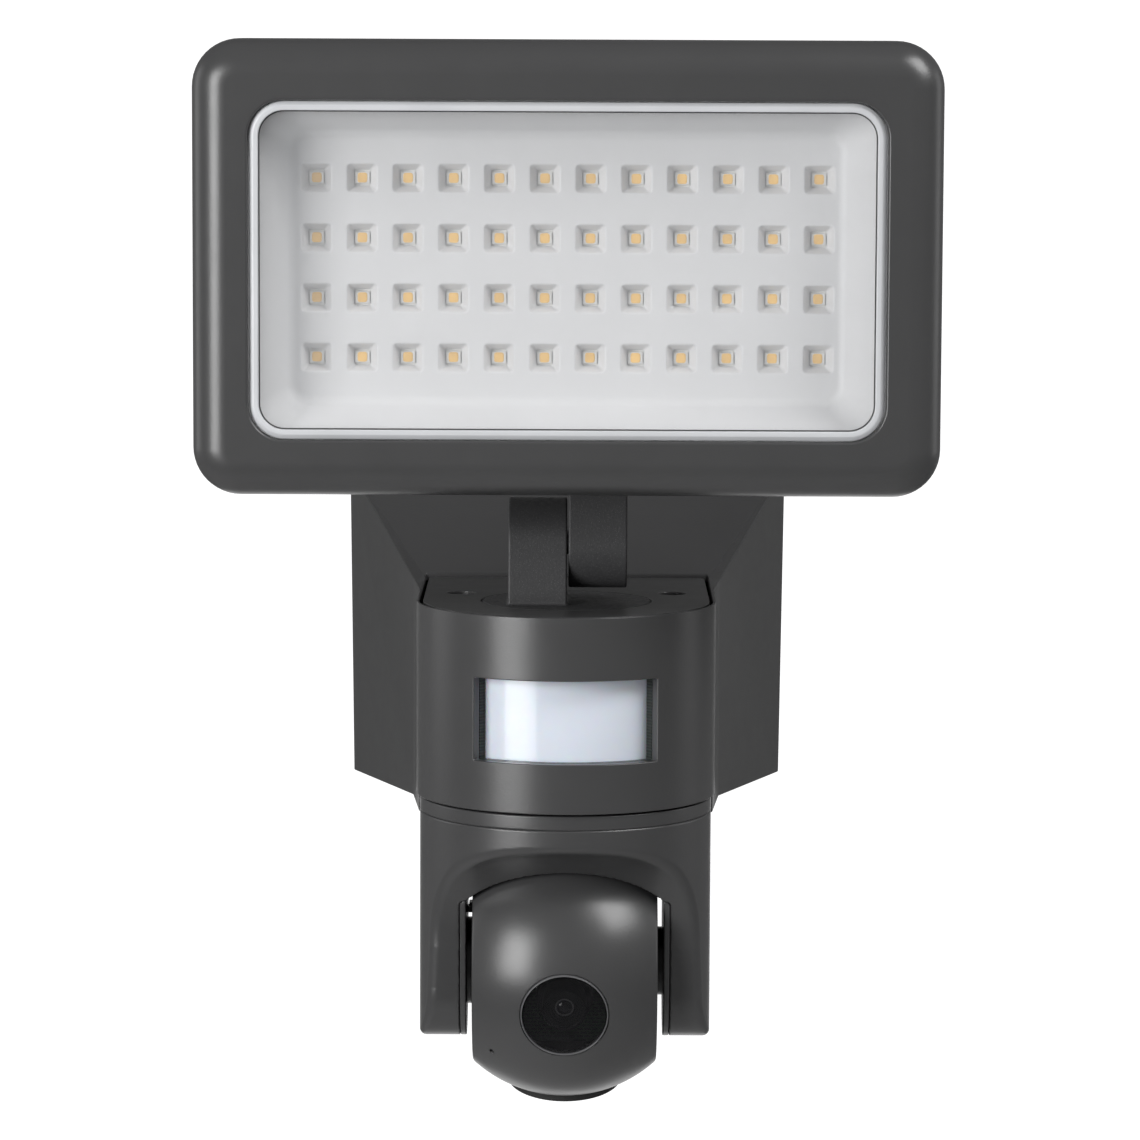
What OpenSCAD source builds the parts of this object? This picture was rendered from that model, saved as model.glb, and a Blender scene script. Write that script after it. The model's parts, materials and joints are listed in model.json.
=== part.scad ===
// Wall floodlight with a motion sensor and a pan and tilt camera.
// Millimetres. X to the right, -Y out of the wall, +Z up. The origin is at the
// centre of the four wall screws, on the wall.

/* [Lamp head] */
// Width of the lamp head
head_w = 179.4; // [170:0.1:190]
// Height of the lamp head
head_h = 109; // [105:1:115]
// Corner radius of the lamp head
head_corner_r = 11.5; // [9:0.5:13]
// Height of the middle of the lamp head above the wall screws
head_z = 100.9; // [100:0.1:110]
// Radius of the rounded front edge of the lamp head
bezel_round = 8.5; // [4:0.5:9]
// Width of the lamp window
window_w = 151.5; // [150:0.1:153]
// Height of the lamp window
window_h = 80.3; // [79:0.1:82]
// How far the middle of the lamp window sits below the middle of the head
window_drop = 0.4; // [0:0.1:1]
// Number of LEDs in a row
led_columns = 12; // [8:1:12]
// Number of rows of LEDs
led_rows = 4; // [2:1:4]
// Sideways distance between LEDs
led_pitch_x = 11; // [9:0.1:11]
// Upright distance between LEDs
led_pitch_z = 14.4; // [12:0.1:14.4]

/* [Sensor body] */
// Outer radius of the round front of the sensor body
body_r = 37.4; // [37:0.1:38]
// Distance from the wall to the pan axis
axis_out = 102; // [100:1:104]
// Height of the top plate
plate_top = 16; // [15:0.5:17]
// Half the angle of the sensor window
sensor_angle = 37; // [30:1:40]
// Height of the sensor window
sensor_h = 20.4; // [16:0.2:21]

/* [Wall box] */
// Width of the wall box
box_w = 116.5; // [112:0.5:120]
// Top of the wall box
box_top = 40.7; // [38:0.1:42]
// Bottom of the wall box
box_bottom = -41.3; // [-42:0.1:-40]
// Sideways distance between the wall screws
wall_pitch_x = 70; // [60:1:74]
// Upright distance between the wall screws
wall_pitch_z = 44; // [40:1:50]
// Diameter of the wall screw holes
wall_hole_d = 5; // [4:0.5:6]

/* [Camera] */
// Outer radius of the yoke
yoke_r = 36.5; // [36:0.1:36.8]
// Height of the tilt axis
tilt_z = -75.3; // [-76:0.1:-75]
// Radius of the camera ball
ball_r = 34; // [33:0.1:34.2]
// Half the width of the camera ball between its flat sides
ball_half_w = 23; // [22:0.1:23]
// Angle at which the lens looks down at rest
lens_down = 14; // [0:1:20]
// Diameter of the black lens window
lens_window_d = 21; // [19:0.5:22]

/* [Hidden] */
$fn = 96;
wall = 2.2;              // usual wall of the mouldings
gap = 0.3;               // usual gap between pieces that move past each other
rear_screws = [[-46, -33], [46, -33], [-46, 28], [46, 28]];
bracket_screw_out = 5.6;
bracket_screw_x = 30;
tab_under = -36;         // underside of the bracket's lower tabs
run_fit = 0.05;          // radial clearance of a running fit

// knuckle between the sensor body and the lamp head
hinge_z = 30.6;          // height of the hinge axis
knuckle_r = 11.25;
arm_w = 14.6;            // width of each of the two arms
arm_gap = 0.3;           // between the two arms
bolt_r = 3;
nut_seat_x = 1.5 * arm_gap + arm_w - 5;
disc_r = 21.2;           // swivel disc
disc_under = plate_top - 2.9;
neck_r = 9;
plate_web_bottom = disc_under - 5.1;

// lamp head, as distances out from the wall
head_front = 153;
window_z = head_z - window_drop;
bezel_back = 131;
housing_back = 118;
fin_back = 113;
glass_front = 150.2;
glass_t = 3;
tray_floor = 137;
pocket_depth = 3.4;
board_front = tray_floor - pocket_depth;
board_t = 1.6;
spreader_t = 3;
ring_w = 2.2;
pocket_mouth = 7;
pocket_base = 3.9;
tray_floor_w = 133;
tray_floor_h = 64.8;

// sensor body
body_bottom = -32.3;
seam_out = 79;           // where the front shell meets the wall box
shoulder_out = 52;       // where the wall box starts to widen
shoulder_half_w = 40;
seam_half_w = 37.6;
hopper_out = 10;         // depth of the square part of the wall box
side_lean = 1;           // the wall box is this much narrower on each side at its bottom
box_back = 2;            // the wall seal lies behind this
plate_t = 3.4;
floor_t = 2.4;
sensor_top = 0.4;
lens_r = 32.6;           // outside of the sensor lens

// pan drive
gear_module = 0.5;
pan_teeth = 60;
tilt_teeth = 48;
pinion_teeth = 12;
mesh_slack = 0.08;       // added to the distance between gear axes
hub_r = 10;
hub_bore_r = 7;
cap_top = -32.8;
cap_bottom = -36.4;
pan_gear_z = body_bottom + floor_t + 0.2;
gear_h = 3;

// yoke and ball
arm_inner = 24.6;        // inner face of the yoke's arms
cover_t = 1.6;
cover_r = 25.6;          // round top of the arm covers, up to the cavity's edge
cavity_r = ball_r + 1.5;
cove_r = 28;
cove_out = 43.6;         // centre of the cove, out from the pan axis
cove_z = -69.1;
arm_half_depth = 15.6;
arm_end_r = 14.3;
arm_end_z = -79.9;
split_back = 16;         // where the ball's two shells meet, behind the axis
shell_t = 2.2;
ball_bosses = [[-18.6, -14], [18.6, -14], [-18.6, 14], [18.6, 14]];
card_cap_r = 14.5;
card_cap_proud = 1.5;    // how far the cover stands out of the ball
button_x = 4;
button_y = 3;
speaker_x = -9;
mic_x = -17.9;
mic_down = 27;
boss_left_r = 10.9;
boss_right_r = 8.6;
left_shaft_r = 6;
right_shaft_r = 4;
tilt_gear_x = 17.6;

// ---------- helpers ----------

// a flat outline drawn in X and Z, thick from one distance off the wall to another
module facing(near, far) {
    translate([0, -near, 0]) rotate([90, 0, 0]) linear_extrude(far - near) children();
}

// a flat outline drawn in Y and Z, thick from x0 to x1
module along_x(x0, x1) {
    translate([x0, 0, 0]) rotate([90, 0, 90]) linear_extrude(x1 - x0) children();
}

// a round bar along X
module bar_x(x0, x1, r, y = 0, z = 0) {
    translate([x0, y, z]) rotate([0, 90, 0]) cylinder(r = r, h = x1 - x0);
}

// a round bar along Y, from one distance off the wall to another
module bar_y(near, far, r, x = 0, z = 0) {
    translate([x, -near, z]) rotate([90, 0, 0]) cylinder(r = r, h = far - near);
}

// a block centred across X, given by distances off the wall and by heights
module block(half_w, near, far, z0, z1) {
    translate([-half_w, -far, z0]) cube([2 * half_w, far - near, z1 - z0]);
}

module rounded_rect(w, h, r) {
    square([w - 2 * r, h], center = true);
    square([w, h - 2 * r], center = true);
    for (sx = [-1, 1], sy = [-1, 1])
        translate([sx * (w / 2 - r), sy * (h / 2 - r)]) circle(r);
}

// everything placed about the vertical pan axis
module at_pan() {
    translate([0, -axis_out, 0]) children();
}

// everything placed about the ball's centre, turned with the lens
module in_ball() {
    translate([0, -axis_out, tilt_z]) rotate([lens_down, 0, 0]) children();
}

// D outline of the sensor body: round in front, straight sides back to a distance off the wall
module d_outline(r, back) {
    intersection() {
        translate([0, -axis_out]) circle(r);
        translate([-r, -axis_out - r]) square([2 * r, axis_out + r - back]);
    }
    translate([-r, -axis_out]) square([2 * r, axis_out - back]);
}

// a sector of a ring about the pan axis, facing forward
module front_sector(r_in, r_out, half_angle, z0, z1) {
    at_pan() rotate([0, 0, -90 - half_angle])
        translate([0, 0, z0]) rotate_extrude(angle = 2 * half_angle)
            translate([r_in, 0]) square([r_out - r_in, z1 - z0]);
}

// a machine screw along Z with its head up; z is the top of the head
module screw_up(x, y, z, r, length, head_r, head_h) {
    translate([x, y, z - length]) cylinder(r = r, h = length - 0.2);
    difference() {
        translate([x, y, z - head_h]) cylinder(r = head_r, h = head_h);
        for (a = [0, 90])
            translate([x, y, z]) rotate([0, 0, a])
                cube([head_r * 1.3, head_r * 0.28, head_h * 0.9], center = true);
    }
}

// outline of a spur gear with straight-sided teeth; turned so that a tooth
// points along +X when phase is 0
function gear_points(teeth, phase) =
    let (
        pitch_r = teeth * gear_module / 2,
        tip_r = pitch_r + 0.8 * gear_module,
        root_r = pitch_r - 1.2 * gear_module,
        step = 360 / teeth
    )
    [for (i = [0 : teeth - 1], c = [
        [root_r, -0.29], [tip_r, -0.1], [tip_r, 0.1], [root_r, 0.29]])
        let (a = (i + c[1]) * step + phase) [c[0] * cos(a), c[0] * sin(a)]];

module gear(teeth, h, bore_r, phase = 0) {
    difference() {
        linear_extrude(h) polygon(gear_points(teeth, phase));
        translate([0, 0, -1]) cylinder(r = bore_r, h = h + 2);
    }
}

function gear_distance(a, b) = (a + b) * gear_module / 2 + mesh_slack;

// ---------- wall box ----------

// the outline of the wall box seen from above, drawn in by t
module box_plan(t) {
    polygon([
        [-box_w / 2 + t, 0], [-box_w / 2 + t, -hopper_out], [-shoulder_half_w + t, -shoulder_out],
        [-seam_half_w + t, -seam_out], [seam_half_w - t, -seam_out],
        [shoulder_half_w - t, -shoulder_out], [box_w / 2 - t, -hopper_out], [box_w / 2 - t, 0]]);
}

// the outline of the wall box seen from the side, drawn in by t
module box_side(t) {
    polygon([
        [0, box_bottom + t], [0, box_top - t], [-hopper_out, box_top - t],
        [-shoulder_out, plate_top - t], [-seam_out, plate_top - t], [-seam_out, box_bottom + t]]);
}

// the outline of the wall box seen from the front, drawn in by t
module box_face(t) {
    polygon([
        [-box_w / 2 + t, box_top], [box_w / 2 - t, box_top],
        [box_w / 2 - t - side_lean, box_bottom], [-box_w / 2 + t + side_lean, box_bottom]]);
}

module box_form(t) {
    intersection() {
        translate([0, 0, box_bottom - 1]) linear_extrude(box_top - box_bottom + 2) box_plan(t);
        along_x(-box_w, box_w) box_side(t);
        facing(0, seam_out) box_face(t);
    }
}

module wall_box() {
    recess_r = yoke_r + 0.8;
    color([0.27, 0.27, 0.28]) difference() {
        union() {
            difference() {
                intersection() {
                    box_form(0);
                    block(box_w, box_back, seam_out, box_bottom, box_top);
                }
                box_form(wall);
                block(seam_half_w - wall, shoulder_out, seam_out + 1, body_bottom, plate_top - plate_t);
            }
            // curved wall behind the turning yoke
            intersection() {
                box_form(0);
                at_pan() translate([0, 0, box_bottom])
                    cylinder(r = recess_r + wall, h = body_bottom + floor_t - box_bottom);
            }
            // bosses for the cover behind and the screws from below
            for (p = rear_screws)
                bar_y(9.6, 18, 3.4, p[0], p[1]);
            for (p = rear_screws)
                facing(11, 17) translate([p[0] * 1.09, p[1]]) square([8, 2], center = true);
            for (sx = [-1, 1])
                translate([sx * bracket_screw_x, -bracket_screw_out, box_bottom])
                    cylinder(r = 3.4, h = tab_under - gap / 2 - box_bottom);
        }
        at_pan() translate([0, 0, box_bottom - 1]) cylinder(r = recess_r, h = body_bottom - box_bottom + 1);
        at_pan() translate([0, 0, body_bottom - 1]) cylinder(r = recess_r - 0.1, h = floor_t + 3);
        // rebate for the top plate
        translate([0, 0, plate_top - plate_t]) linear_extrude(plate_t + 1)
            d_outline(body_r - 0.7, shoulder_out - 1.6);
        for (p = rear_screws)
            bar_y(9, 17, 1.25, p[0], p[1]);
        for (sx = [-1, 1])
            translate([sx * bracket_screw_x, -bracket_screw_out, box_bottom - 1]) cylinder(r = 1.6, h = 8);
    }
}

module wall_seal() {
    color([0.12, 0.12, 0.12]) facing(0, box_back) translate([0, (box_top + box_bottom) / 2])
        difference() {
            square([box_w - 2 * side_lean - 0.6, box_top - box_bottom - 0.6], center = true);
            square([box_w - 11, box_top - box_bottom - 9], center = true);
        }
}

module wall_bracket() {
    plate_half_w = 46;
    color([0.72, 0.73, 0.74]) difference() {
        union() {
            facing(0, 2) square([2 * plate_half_w, 62], center = true);
            for (sx = [-1, 1])
                translate([sx * bracket_screw_x - 7, -9, tab_under]) cube([14, 9, 2]);
            for (sx = [-1, 1])
                translate([sx * bracket_screw_x - 7, -2, tab_under]) cube([14, 2, 6]);
            for (sx = [-1, 1])
                translate([sx * bracket_screw_x - 6, -6.8, 29]) cube([12, 6.8, 2]);
        }
        for (sx = [-1, 1], sz = [-1, 1])
            bar_y(-1, 3, wall_hole_d / 2, sx * wall_pitch_x / 2, sz * wall_pitch_z / 2);
        facing(-1, 3) square([26, 26], center = true);
        for (sx = [-1, 1])
            translate([sx * bracket_screw_x, -bracket_screw_out, -37]) cylinder(r = 1.6, h = 4);
    }
}

module bracket_screws() {
    color([0.6, 0.6, 0.62]) mirror([0, 0, 1]) for (sx = [-1, 1])
        screw_up(sx * bracket_screw_x, -bracket_screw_out, -box_bottom + 1.6, 1.5, 10, 2.8, 1.6);
}

module rear_plate() {
    color([0.25, 0.25, 0.26]) difference() {
        facing(7.4, 9.5) square([box_w - 2 * (wall + side_lean) - 1, 2 * 37.6], center = true);
        for (p = rear_screws)
            bar_y(6, 11, 1.7, p[0], p[1]);
        bar_y(6, 11, 6.25, 0, 0);
        // notches for the bracket's lower tabs and their screws
        for (sx = [-1, 1])
            facing(6, 11) translate([sx * bracket_screw_x, -37]) square([18, 9], center = true);
    }
}

module rear_plate_screws() {
    color([0.6, 0.6, 0.62]) for (p = rear_screws) {
        bar_y(7.3, 16.5, 1.25, p[0], p[1]);
        bar_y(5.6, 7.4, 2.6, p[0], p[1]);
    }
}

module cable_gland() {
    color([0.1, 0.1, 0.1]) difference() {
        union() {
            bar_y(4, 14, 6.2);
            bar_y(4, 7.4, 8.5);
            bar_y(9.5, 12.5, 8.5);
        }
        bar_y(3, 15, 3.6);
    }
}

module terminal_block() {
    color([0.85, 0.85, 0.83]) difference() {
        block(15, 24, 36, -38.4, -26);
        for (i = [-1 : 1])
            translate([i * 9 - 2.5, -26.5, -36]) cube([5, 3, 5]);
        for (i = [-1 : 1])
            translate([i * 9, -31, -28]) cylinder(r = 1.8, h = 3);
    }
}

module power_board() {
    color([0.2, 0.38, 0.22]) facing(22, 23.6) translate([0, 5]) square([78, 46], center = true);
}

module transformer() {
    color([0.85, 0.7, 0.2]) union() {
        translate([-30, -38, -8]) cube([22, 14.4, 20]);
        translate([-27, -36.6, -11]) cube([16, 12, 26]);
    }
}

module capacitor() {
    color([0.12, 0.16, 0.3]) for (x = [10, 26]) translate([x, 0, 0]) bar_y(23.6, 40, 6, 0, 4);
}

module main_board() {
    color([0.1, 0.25, 0.4]) {
        facing(48, 49.6) translate([0, -8]) square([58, 38], center = true);
        // radio module and its antenna
        facing(46, 48.1) translate([16, 0]) square([16, 18], center = true);
    }
}

// ---------- sensor body ----------

module sensor_shell() {
    inner = body_r - 2.4;
    color([0.27, 0.27, 0.28]) difference() {
        translate([0, 0, body_bottom]) linear_extrude(plate_top - body_bottom) d_outline(body_r, seam_out);
        translate([0, 0, body_bottom - 1]) linear_extrude(plate_top - body_bottom)
            d_outline(inner, seam_out - 1);
        translate([0, 0, plate_top - plate_t]) linear_extrude(plate_t + 1)
            d_outline(body_r - 0.7, seam_out - 1);
        front_sector(20, body_r + 3, sensor_angle, sensor_top - sensor_h, sensor_top);
    }
}

module floor_plate() {
    color([0.25, 0.25, 0.26]) difference() {
        translate([0, 0, body_bottom]) linear_extrude(floor_t) intersection() {
            d_outline(body_r - 2.5, 60);
            translate([0, -axis_out]) circle(yoke_r + 0.6);
        }
        at_pan() translate([0, 0, body_bottom - 1]) cylinder(r = hub_r + 2, h = floor_t + 2);
    }
}

module pan_bush() {
    color([0.9, 0.9, 0.88]) at_pan() translate([0, 0, body_bottom]) difference() {
        cylinder(r = hub_r + 2, h = floor_t);
        translate([0, 0, -1]) cylinder(r = hub_r + run_fit, h = floor_t + 2);
    }
}

module sensor_frame() {
    color([0.2, 0.22, 0.21]) difference() {
        front_sector(lens_r + 0.1, body_r - 2.5, 52, sensor_top - sensor_h - 3, sensor_top + 3);
        front_sector(20, body_r, sensor_angle, sensor_top - sensor_h, sensor_top);
    }
}

module sensor_lens() {
    color([0.88, 0.9, 0.93])
        front_sector(lens_r - 1, lens_r, 50, sensor_top - sensor_h - 2.4, sensor_top + 2.4);
}

module sensor_board() {
    color([0.15, 0.35, 0.2]) facing(112, 113.6) translate([0, -9]) square([32, 24], center = true);
}

module motion_sensor() {
    color([0.75, 0.76, 0.78]) {
        bar_y(113.6, 117.6, 4.6, 0, -9.5);
        bar_y(113.6, 114.2, 5.2, 0, -9.5);
    }
}

// the pan motor hangs over its pinion, behind the pan axis
module pan_motor() {
    y = -axis_out + gear_distance(pan_teeth, pinion_teeth);
    color([0.7, 0.71, 0.73]) translate([0, y, 0]) {
        translate([0, 0, -23]) cylinder(r = 11, h = 18);
        translate([0, 0, -24.5]) cylinder(r = 4, h = 1.6);
        for (sx = [-1, 1])
            translate([sx * 13 - 4, -4, -23]) cube([8, 8, 1]);
    }
}

module top_plate() {
    screw_x = 26.7;
    screw_y = -86;
    color([0.25, 0.25, 0.26]) difference() {
        union() {
            translate([0, 0, plate_top - plate_t]) linear_extrude(plate_t)
                d_outline(body_r - 1.6, shoulder_out - 1.2);
            at_pan() translate([0, 0, plate_web_bottom])
                cylinder(r = disc_r + 3, h = plate_top - plate_web_bottom - 0.5);
        }
        at_pan() translate([0, 0, disc_under - run_fit]) cylinder(r = disc_r + run_fit, h = 10);
        at_pan() translate([0, 0, plate_web_bottom - 1]) cylinder(r = neck_r + run_fit, h = 20);
        // groove for the swivel seal
        at_pan() translate([0, 0, disc_under - 1.4]) difference() {
            cylinder(r = 16.4, h = 1.5);
            translate([0, 0, -1]) cylinder(r = 14.6, h = 4);
        }
        for (sx = [-1, 1]) {
            translate([sx * screw_x, screw_y, plate_top - 2.4]) cylinder(r = 3.6, h = 3);
            translate([sx * screw_x, screw_y, plate_top - 6]) cylinder(r = 1.7, h = 6);
        }
    }
}

module top_plate_screws() {
    color([0.1, 0.1, 0.1]) for (sx = [-1, 1])
        screw_up(sx * 26.7, -86, plate_top - 0.9, 1.5, 10, 3.1, 1.5);
}

module swivel_seal() {
    color([0.08, 0.08, 0.08]) at_pan() translate([0, 0, disc_under - 0.75])
        rotate_extrude() translate([15.5, 0]) circle(r = 0.65, $fn = 24);
}

// ---------- knuckle ----------

// a knuckle arm's outline in Y and Z, standing on the swivel disc
module lower_arm_outline() {
    translate([-axis_out, hinge_z]) circle(knuckle_r);
    translate([-axis_out - knuckle_r, plate_top - 0.2])
        square([2 * knuckle_r, hinge_z - plate_top + 0.2]);
}

// body that swivels in the top plate, with the left-hand arm
module lower_knuckle() {
    left = -arm_w + arm_gap / 2;
    color([0.25, 0.25, 0.26]) difference() {
        union() {
            at_pan() translate([0, 0, disc_under]) cylinder(r = disc_r, h = plate_top - disc_under);
            at_pan() translate([0, 0, plate_web_bottom - 3.3])
                cylinder(r = neck_r, h = disc_under - plate_web_bottom + 4);
            along_x(left, arm_gap / 2) lower_arm_outline();
        }
        bar_x(left - 1, 2, bolt_r + run_fit, -axis_out, hinge_z);
        bar_x(left - 1, left + 4.4, 5.6, -axis_out, hinge_z);
        // passage for the wires
        at_pan() translate([0, 0, plate_web_bottom - 4]) cylinder(r = 4.5, h = 8);
    }
}

module swivel_nut() {
    color([0.3, 0.3, 0.31]) at_pan() translate([0, 0, plate_web_bottom - 3.3]) difference() {
        cylinder(r = neck_r + 4.5, h = 3.2);
        translate([0, 0, -1]) cylinder(r = neck_r, h = 6);
    }
}

module hinge_bolt() {
    left = -arm_w + arm_gap / 2;
    color([0.35, 0.35, 0.36]) {
        bar_x(left + 4.3, nut_seat_x + 4.4, bolt_r, -axis_out, hinge_z);
        difference() {
            bar_x(left + 0.9, left + 4.35, 5.2, -axis_out, hinge_z);
            translate([left + 0.8, -axis_out, hinge_z]) rotate([0, 90, 0])
                cylinder(r = 2.9, h = 2.2, $fn = 6);
        }
        // nut on the far side
        translate([nut_seat_x + 0.75, -axis_out, hinge_z]) rotate([0, 90, 0]) difference() {
            cylinder(r = 5.6, h = 3.4, $fn = 6);
            translate([0, 0, -1]) cylinder(r = bolt_r, h = 8);
        }
    }
}

module hinge_washer() {
    color([0.75, 0.76, 0.78]) difference() {
        bar_x(nut_seat_x, nut_seat_x + 0.7, 5.8, -axis_out, hinge_z);
        bar_x(nut_seat_x - 1, nut_seat_x + 2, bolt_r, -axis_out, hinge_z);
    }
}

// the right-hand arm, from the hinge up to a foot on the back of the head
module upper_knuckle() {
    x0 = arm_gap / 2 + arm_gap;
    x1 = x0 + arm_w;
    foot_x = (x0 + x1) / 2;
    color([0.25, 0.25, 0.26]) difference() {
        union() {
            along_x(x0, x1) {
                translate([-axis_out, hinge_z]) circle(knuckle_r);
                polygon([
                    [-axis_out - knuckle_r, hinge_z], [-axis_out - knuckle_r, 49],
                    [-housing_back + 0.1, 53], [-housing_back + 0.1, 90],
                    [-axis_out - 5, 84], [-axis_out + knuckle_r - 3, 55], [-axis_out + knuckle_r, hinge_z]]);
            }
            facing(housing_back - 4, housing_back) translate([foot_x, 74]) rounded_rect(38, 44, 4);
        }
        bar_x(x0 - 1, x1 + 1, bolt_r + run_fit, -axis_out, hinge_z);
        bar_x(nut_seat_x, x1 + 1, 6, -axis_out, hinge_z);
        for (sx = [-1, 1], sz = [-1, 1])
            bar_y(housing_back - 5, housing_back + 1, 2.2, foot_x + sx * 13.5, 74 + sz * 16.5);
    }
}

module knuckle_screws() {
    foot_x = arm_gap * 1.5 + arm_w / 2;
    color([0.6, 0.6, 0.62]) for (sx = [-1, 1], sz = [-1, 1]) {
        bar_y(housing_back - 4.1, housing_back + 2, 2, foot_x + sx * 13.5, 74 + sz * 16.5);
        bar_y(housing_back - 6.4, housing_back - 4, 3.6, foot_x + sx * 13.5, 74 + sz * 16.5);
    }
}

// ---------- lamp head ----------

// rounded block with a round edge of radius f towards the front
module soft_front(w, h, r, near, far, f) {
    hull() for (sx = [-1, 1], sz = [-1, 1])
        translate([sx * (w / 2 - r), 0, head_z + sz * (h / 2 - r)]) {
            translate([0, -near, 0]) rotate([90, 0, 0]) cylinder(r = r, h = 1, $fn = 32);
            translate([0, -far + f, 0]) rotate([90, 0, 0])
                rotate_extrude($fn = 32) intersection() {
                    translate([r - f, 0]) circle(f, $fn = 32);
                    translate([0, -f]) square([r, 2 * f]);
                }
        }
}

module head_outline(inset) {
    translate([0, head_z]) rounded_rect(head_w - 2 * inset, head_h - 2 * inset, head_corner_r - inset);
}

module head_bezel() {
    color([0.27, 0.27, 0.28]) difference() {
        soft_front(head_w, head_h, head_corner_r, bezel_back, head_front, bezel_round);
        facing(bezel_back - 1, glass_front) head_outline(4);
        facing(bezel_back, head_front + 1) translate([0, window_z])
            rounded_rect(window_w + 0.6, window_h + 0.6, 8.7);
    }
}

// the housing's fins run upright, clear of the arm's foot
module head_housing() {
    foot_x = arm_gap * 1.5 + arm_w / 2;
    color([0.27, 0.27, 0.28]) difference() {
        union() {
            mirror([0, 1, 0]) translate([0, housing_back + bezel_back, 0])
                soft_front(head_w, head_h, head_corner_r, housing_back, bezel_back, 4);
            for (i = [-8 : 8])
                if (abs(i * 9.6 - foot_x) > 22)
                    translate([i * 9.6 - 0.9, -housing_back - 0.5, head_z - 44])
                        cube([1.8, housing_back - fin_back + 0.5, 88]);
        }
        facing(housing_back + 2.5, bezel_back + 1) difference() {
            head_outline(3.5);
            translate([0, head_z]) rounded_rect(112, 62, 4);
        }
        facing(board_front - board_t - spreader_t, bezel_back + 1) head_outline(3.5);
        for (sx = [-1, 1], sz = [-1, 1])
            bar_y(housing_back - 1, housing_back + 3, 2.05, foot_x + sx * 13.5, 74 + sz * 16.5);
    }
}

module head_seal() {
    color([0.8, 0.8, 0.78]) facing(bezel_back - 1.6, bezel_back + 1.6) difference() {
        head_outline(4.2);
        head_outline(6);
    }
}

module trim_ring() {
    color([0.78, 0.79, 0.8]) facing(glass_front, glass_front + 2) translate([0, window_z]) difference() {
        rounded_rect(window_w, window_h, 8.4);
        rounded_rect(window_w - 2 * ring_w, window_h - 2 * ring_w, 8.4 - ring_w);
    }
}

module cover_glass() {
    color([0.9, 0.93, 0.95, 0.4]) facing(glass_front - glass_t, glass_front)
        translate([0, window_z]) rounded_rect(window_w + 8, window_h + 8, 10);
}

// each LED's place on the face of the lamp
module led_places() {
    for (i = [0 : led_columns - 1], j = [0 : led_rows - 1])
        translate([(i - (led_columns - 1) / 2) * led_pitch_x, 0,
            window_z + (j - (led_rows - 1) / 2) * led_pitch_z]) children();
}

// white tray with sloping walls and a tapered pocket round every LED
module reflector() {
    mouth_w = window_w - 2 * ring_w;
    mouth_h = window_h - 2 * ring_w;
    back = glass_front - glass_t;
    color([0.93, 0.93, 0.93]) difference() {
        union() {
            facing(board_front, back) translate([0, window_z]) rounded_rect(mouth_w + 2, mouth_h + 2, 8);
            facing(back - 1.4, back) translate([0, window_z]) rounded_rect(window_w + 8, window_h + 8, 10);
        }
        hull() {
            facing(back, back + 0.2) translate([0, window_z]) rounded_rect(mouth_w, mouth_h, 7);
            facing(tray_floor, tray_floor + 0.2) translate([0, window_z])
                rounded_rect(tray_floor_w, tray_floor_h, 4);
        }
        led_places() translate([0, -board_front + 0.1, 0]) rotate([90, 0, 0]) rotate([0, 0, 45])
            cylinder(r1 = pocket_base / sqrt(2), r2 = (pocket_mouth + 0.2) / sqrt(2),
                h = pocket_depth + 0.2, $fn = 4);
    }
}

module led_board() {
    color([0.9, 0.9, 0.88]) facing(board_front - board_t, board_front)
        translate([0, window_z]) rounded_rect(142, 72, 3);
}

module leds() {
    color([0.95, 0.95, 0.92]) led_places()
        translate([-1.75, -board_front - 0.8, -1.4]) cube([3.5, 0.8, 2.8]);
}

module led_phosphors() {
    color([0.95, 0.75, 0.3]) led_places()
        translate([-1.2, -board_front - 0.95, -1.2]) cube([2.4, 0.15, 2.4]);
}

module heat_spreader() {
    color([0.75, 0.76, 0.78]) facing(board_front - board_t - spreader_t, board_front - board_t)
        translate([0, window_z]) rounded_rect(150, 80, 4);
}

// ---------- yoke ----------

module yoke_cap() {
    color([0.27, 0.27, 0.28]) at_pan() difference() {
        union() {
            translate([0, 0, cap_bottom]) cylinder(r = yoke_r, h = cap_top - cap_bottom);
            translate([0, 0, cap_bottom]) cylinder(r = hub_r, h = pan_gear_z + gear_h + 1 - cap_bottom);
        }
        translate([0, 0, cap_bottom - 1]) cylinder(r = hub_bore_r, h = 20);
    }
}

// side view of the yoke: full depth at the top, a hollow cove, then narrow arms
function cove_point(a) = [cove_out - cove_r * cos(a), cove_z + cove_r * sin(a)];
function yoke_half() = concat(
    [[yoke_r + 1, cap_bottom], [yoke_r + 1, cove_point(76)[1]]],
    [for (a = [74 : -4 : 2]) cove_point(a)],
    [[arm_half_depth, cove_z], [arm_end_r, arm_end_z]],
    [for (a = [0 : 6 : 90]) [arm_end_r * cos(a), arm_end_z - arm_end_r * sin(a)]]);

module yoke_side() {
    half = yoke_half();
    polygon(concat(half, [for (i = [len(half) - 2 : -1 : 0]) [-half[i][0], half[i][1]]]));
}

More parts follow.
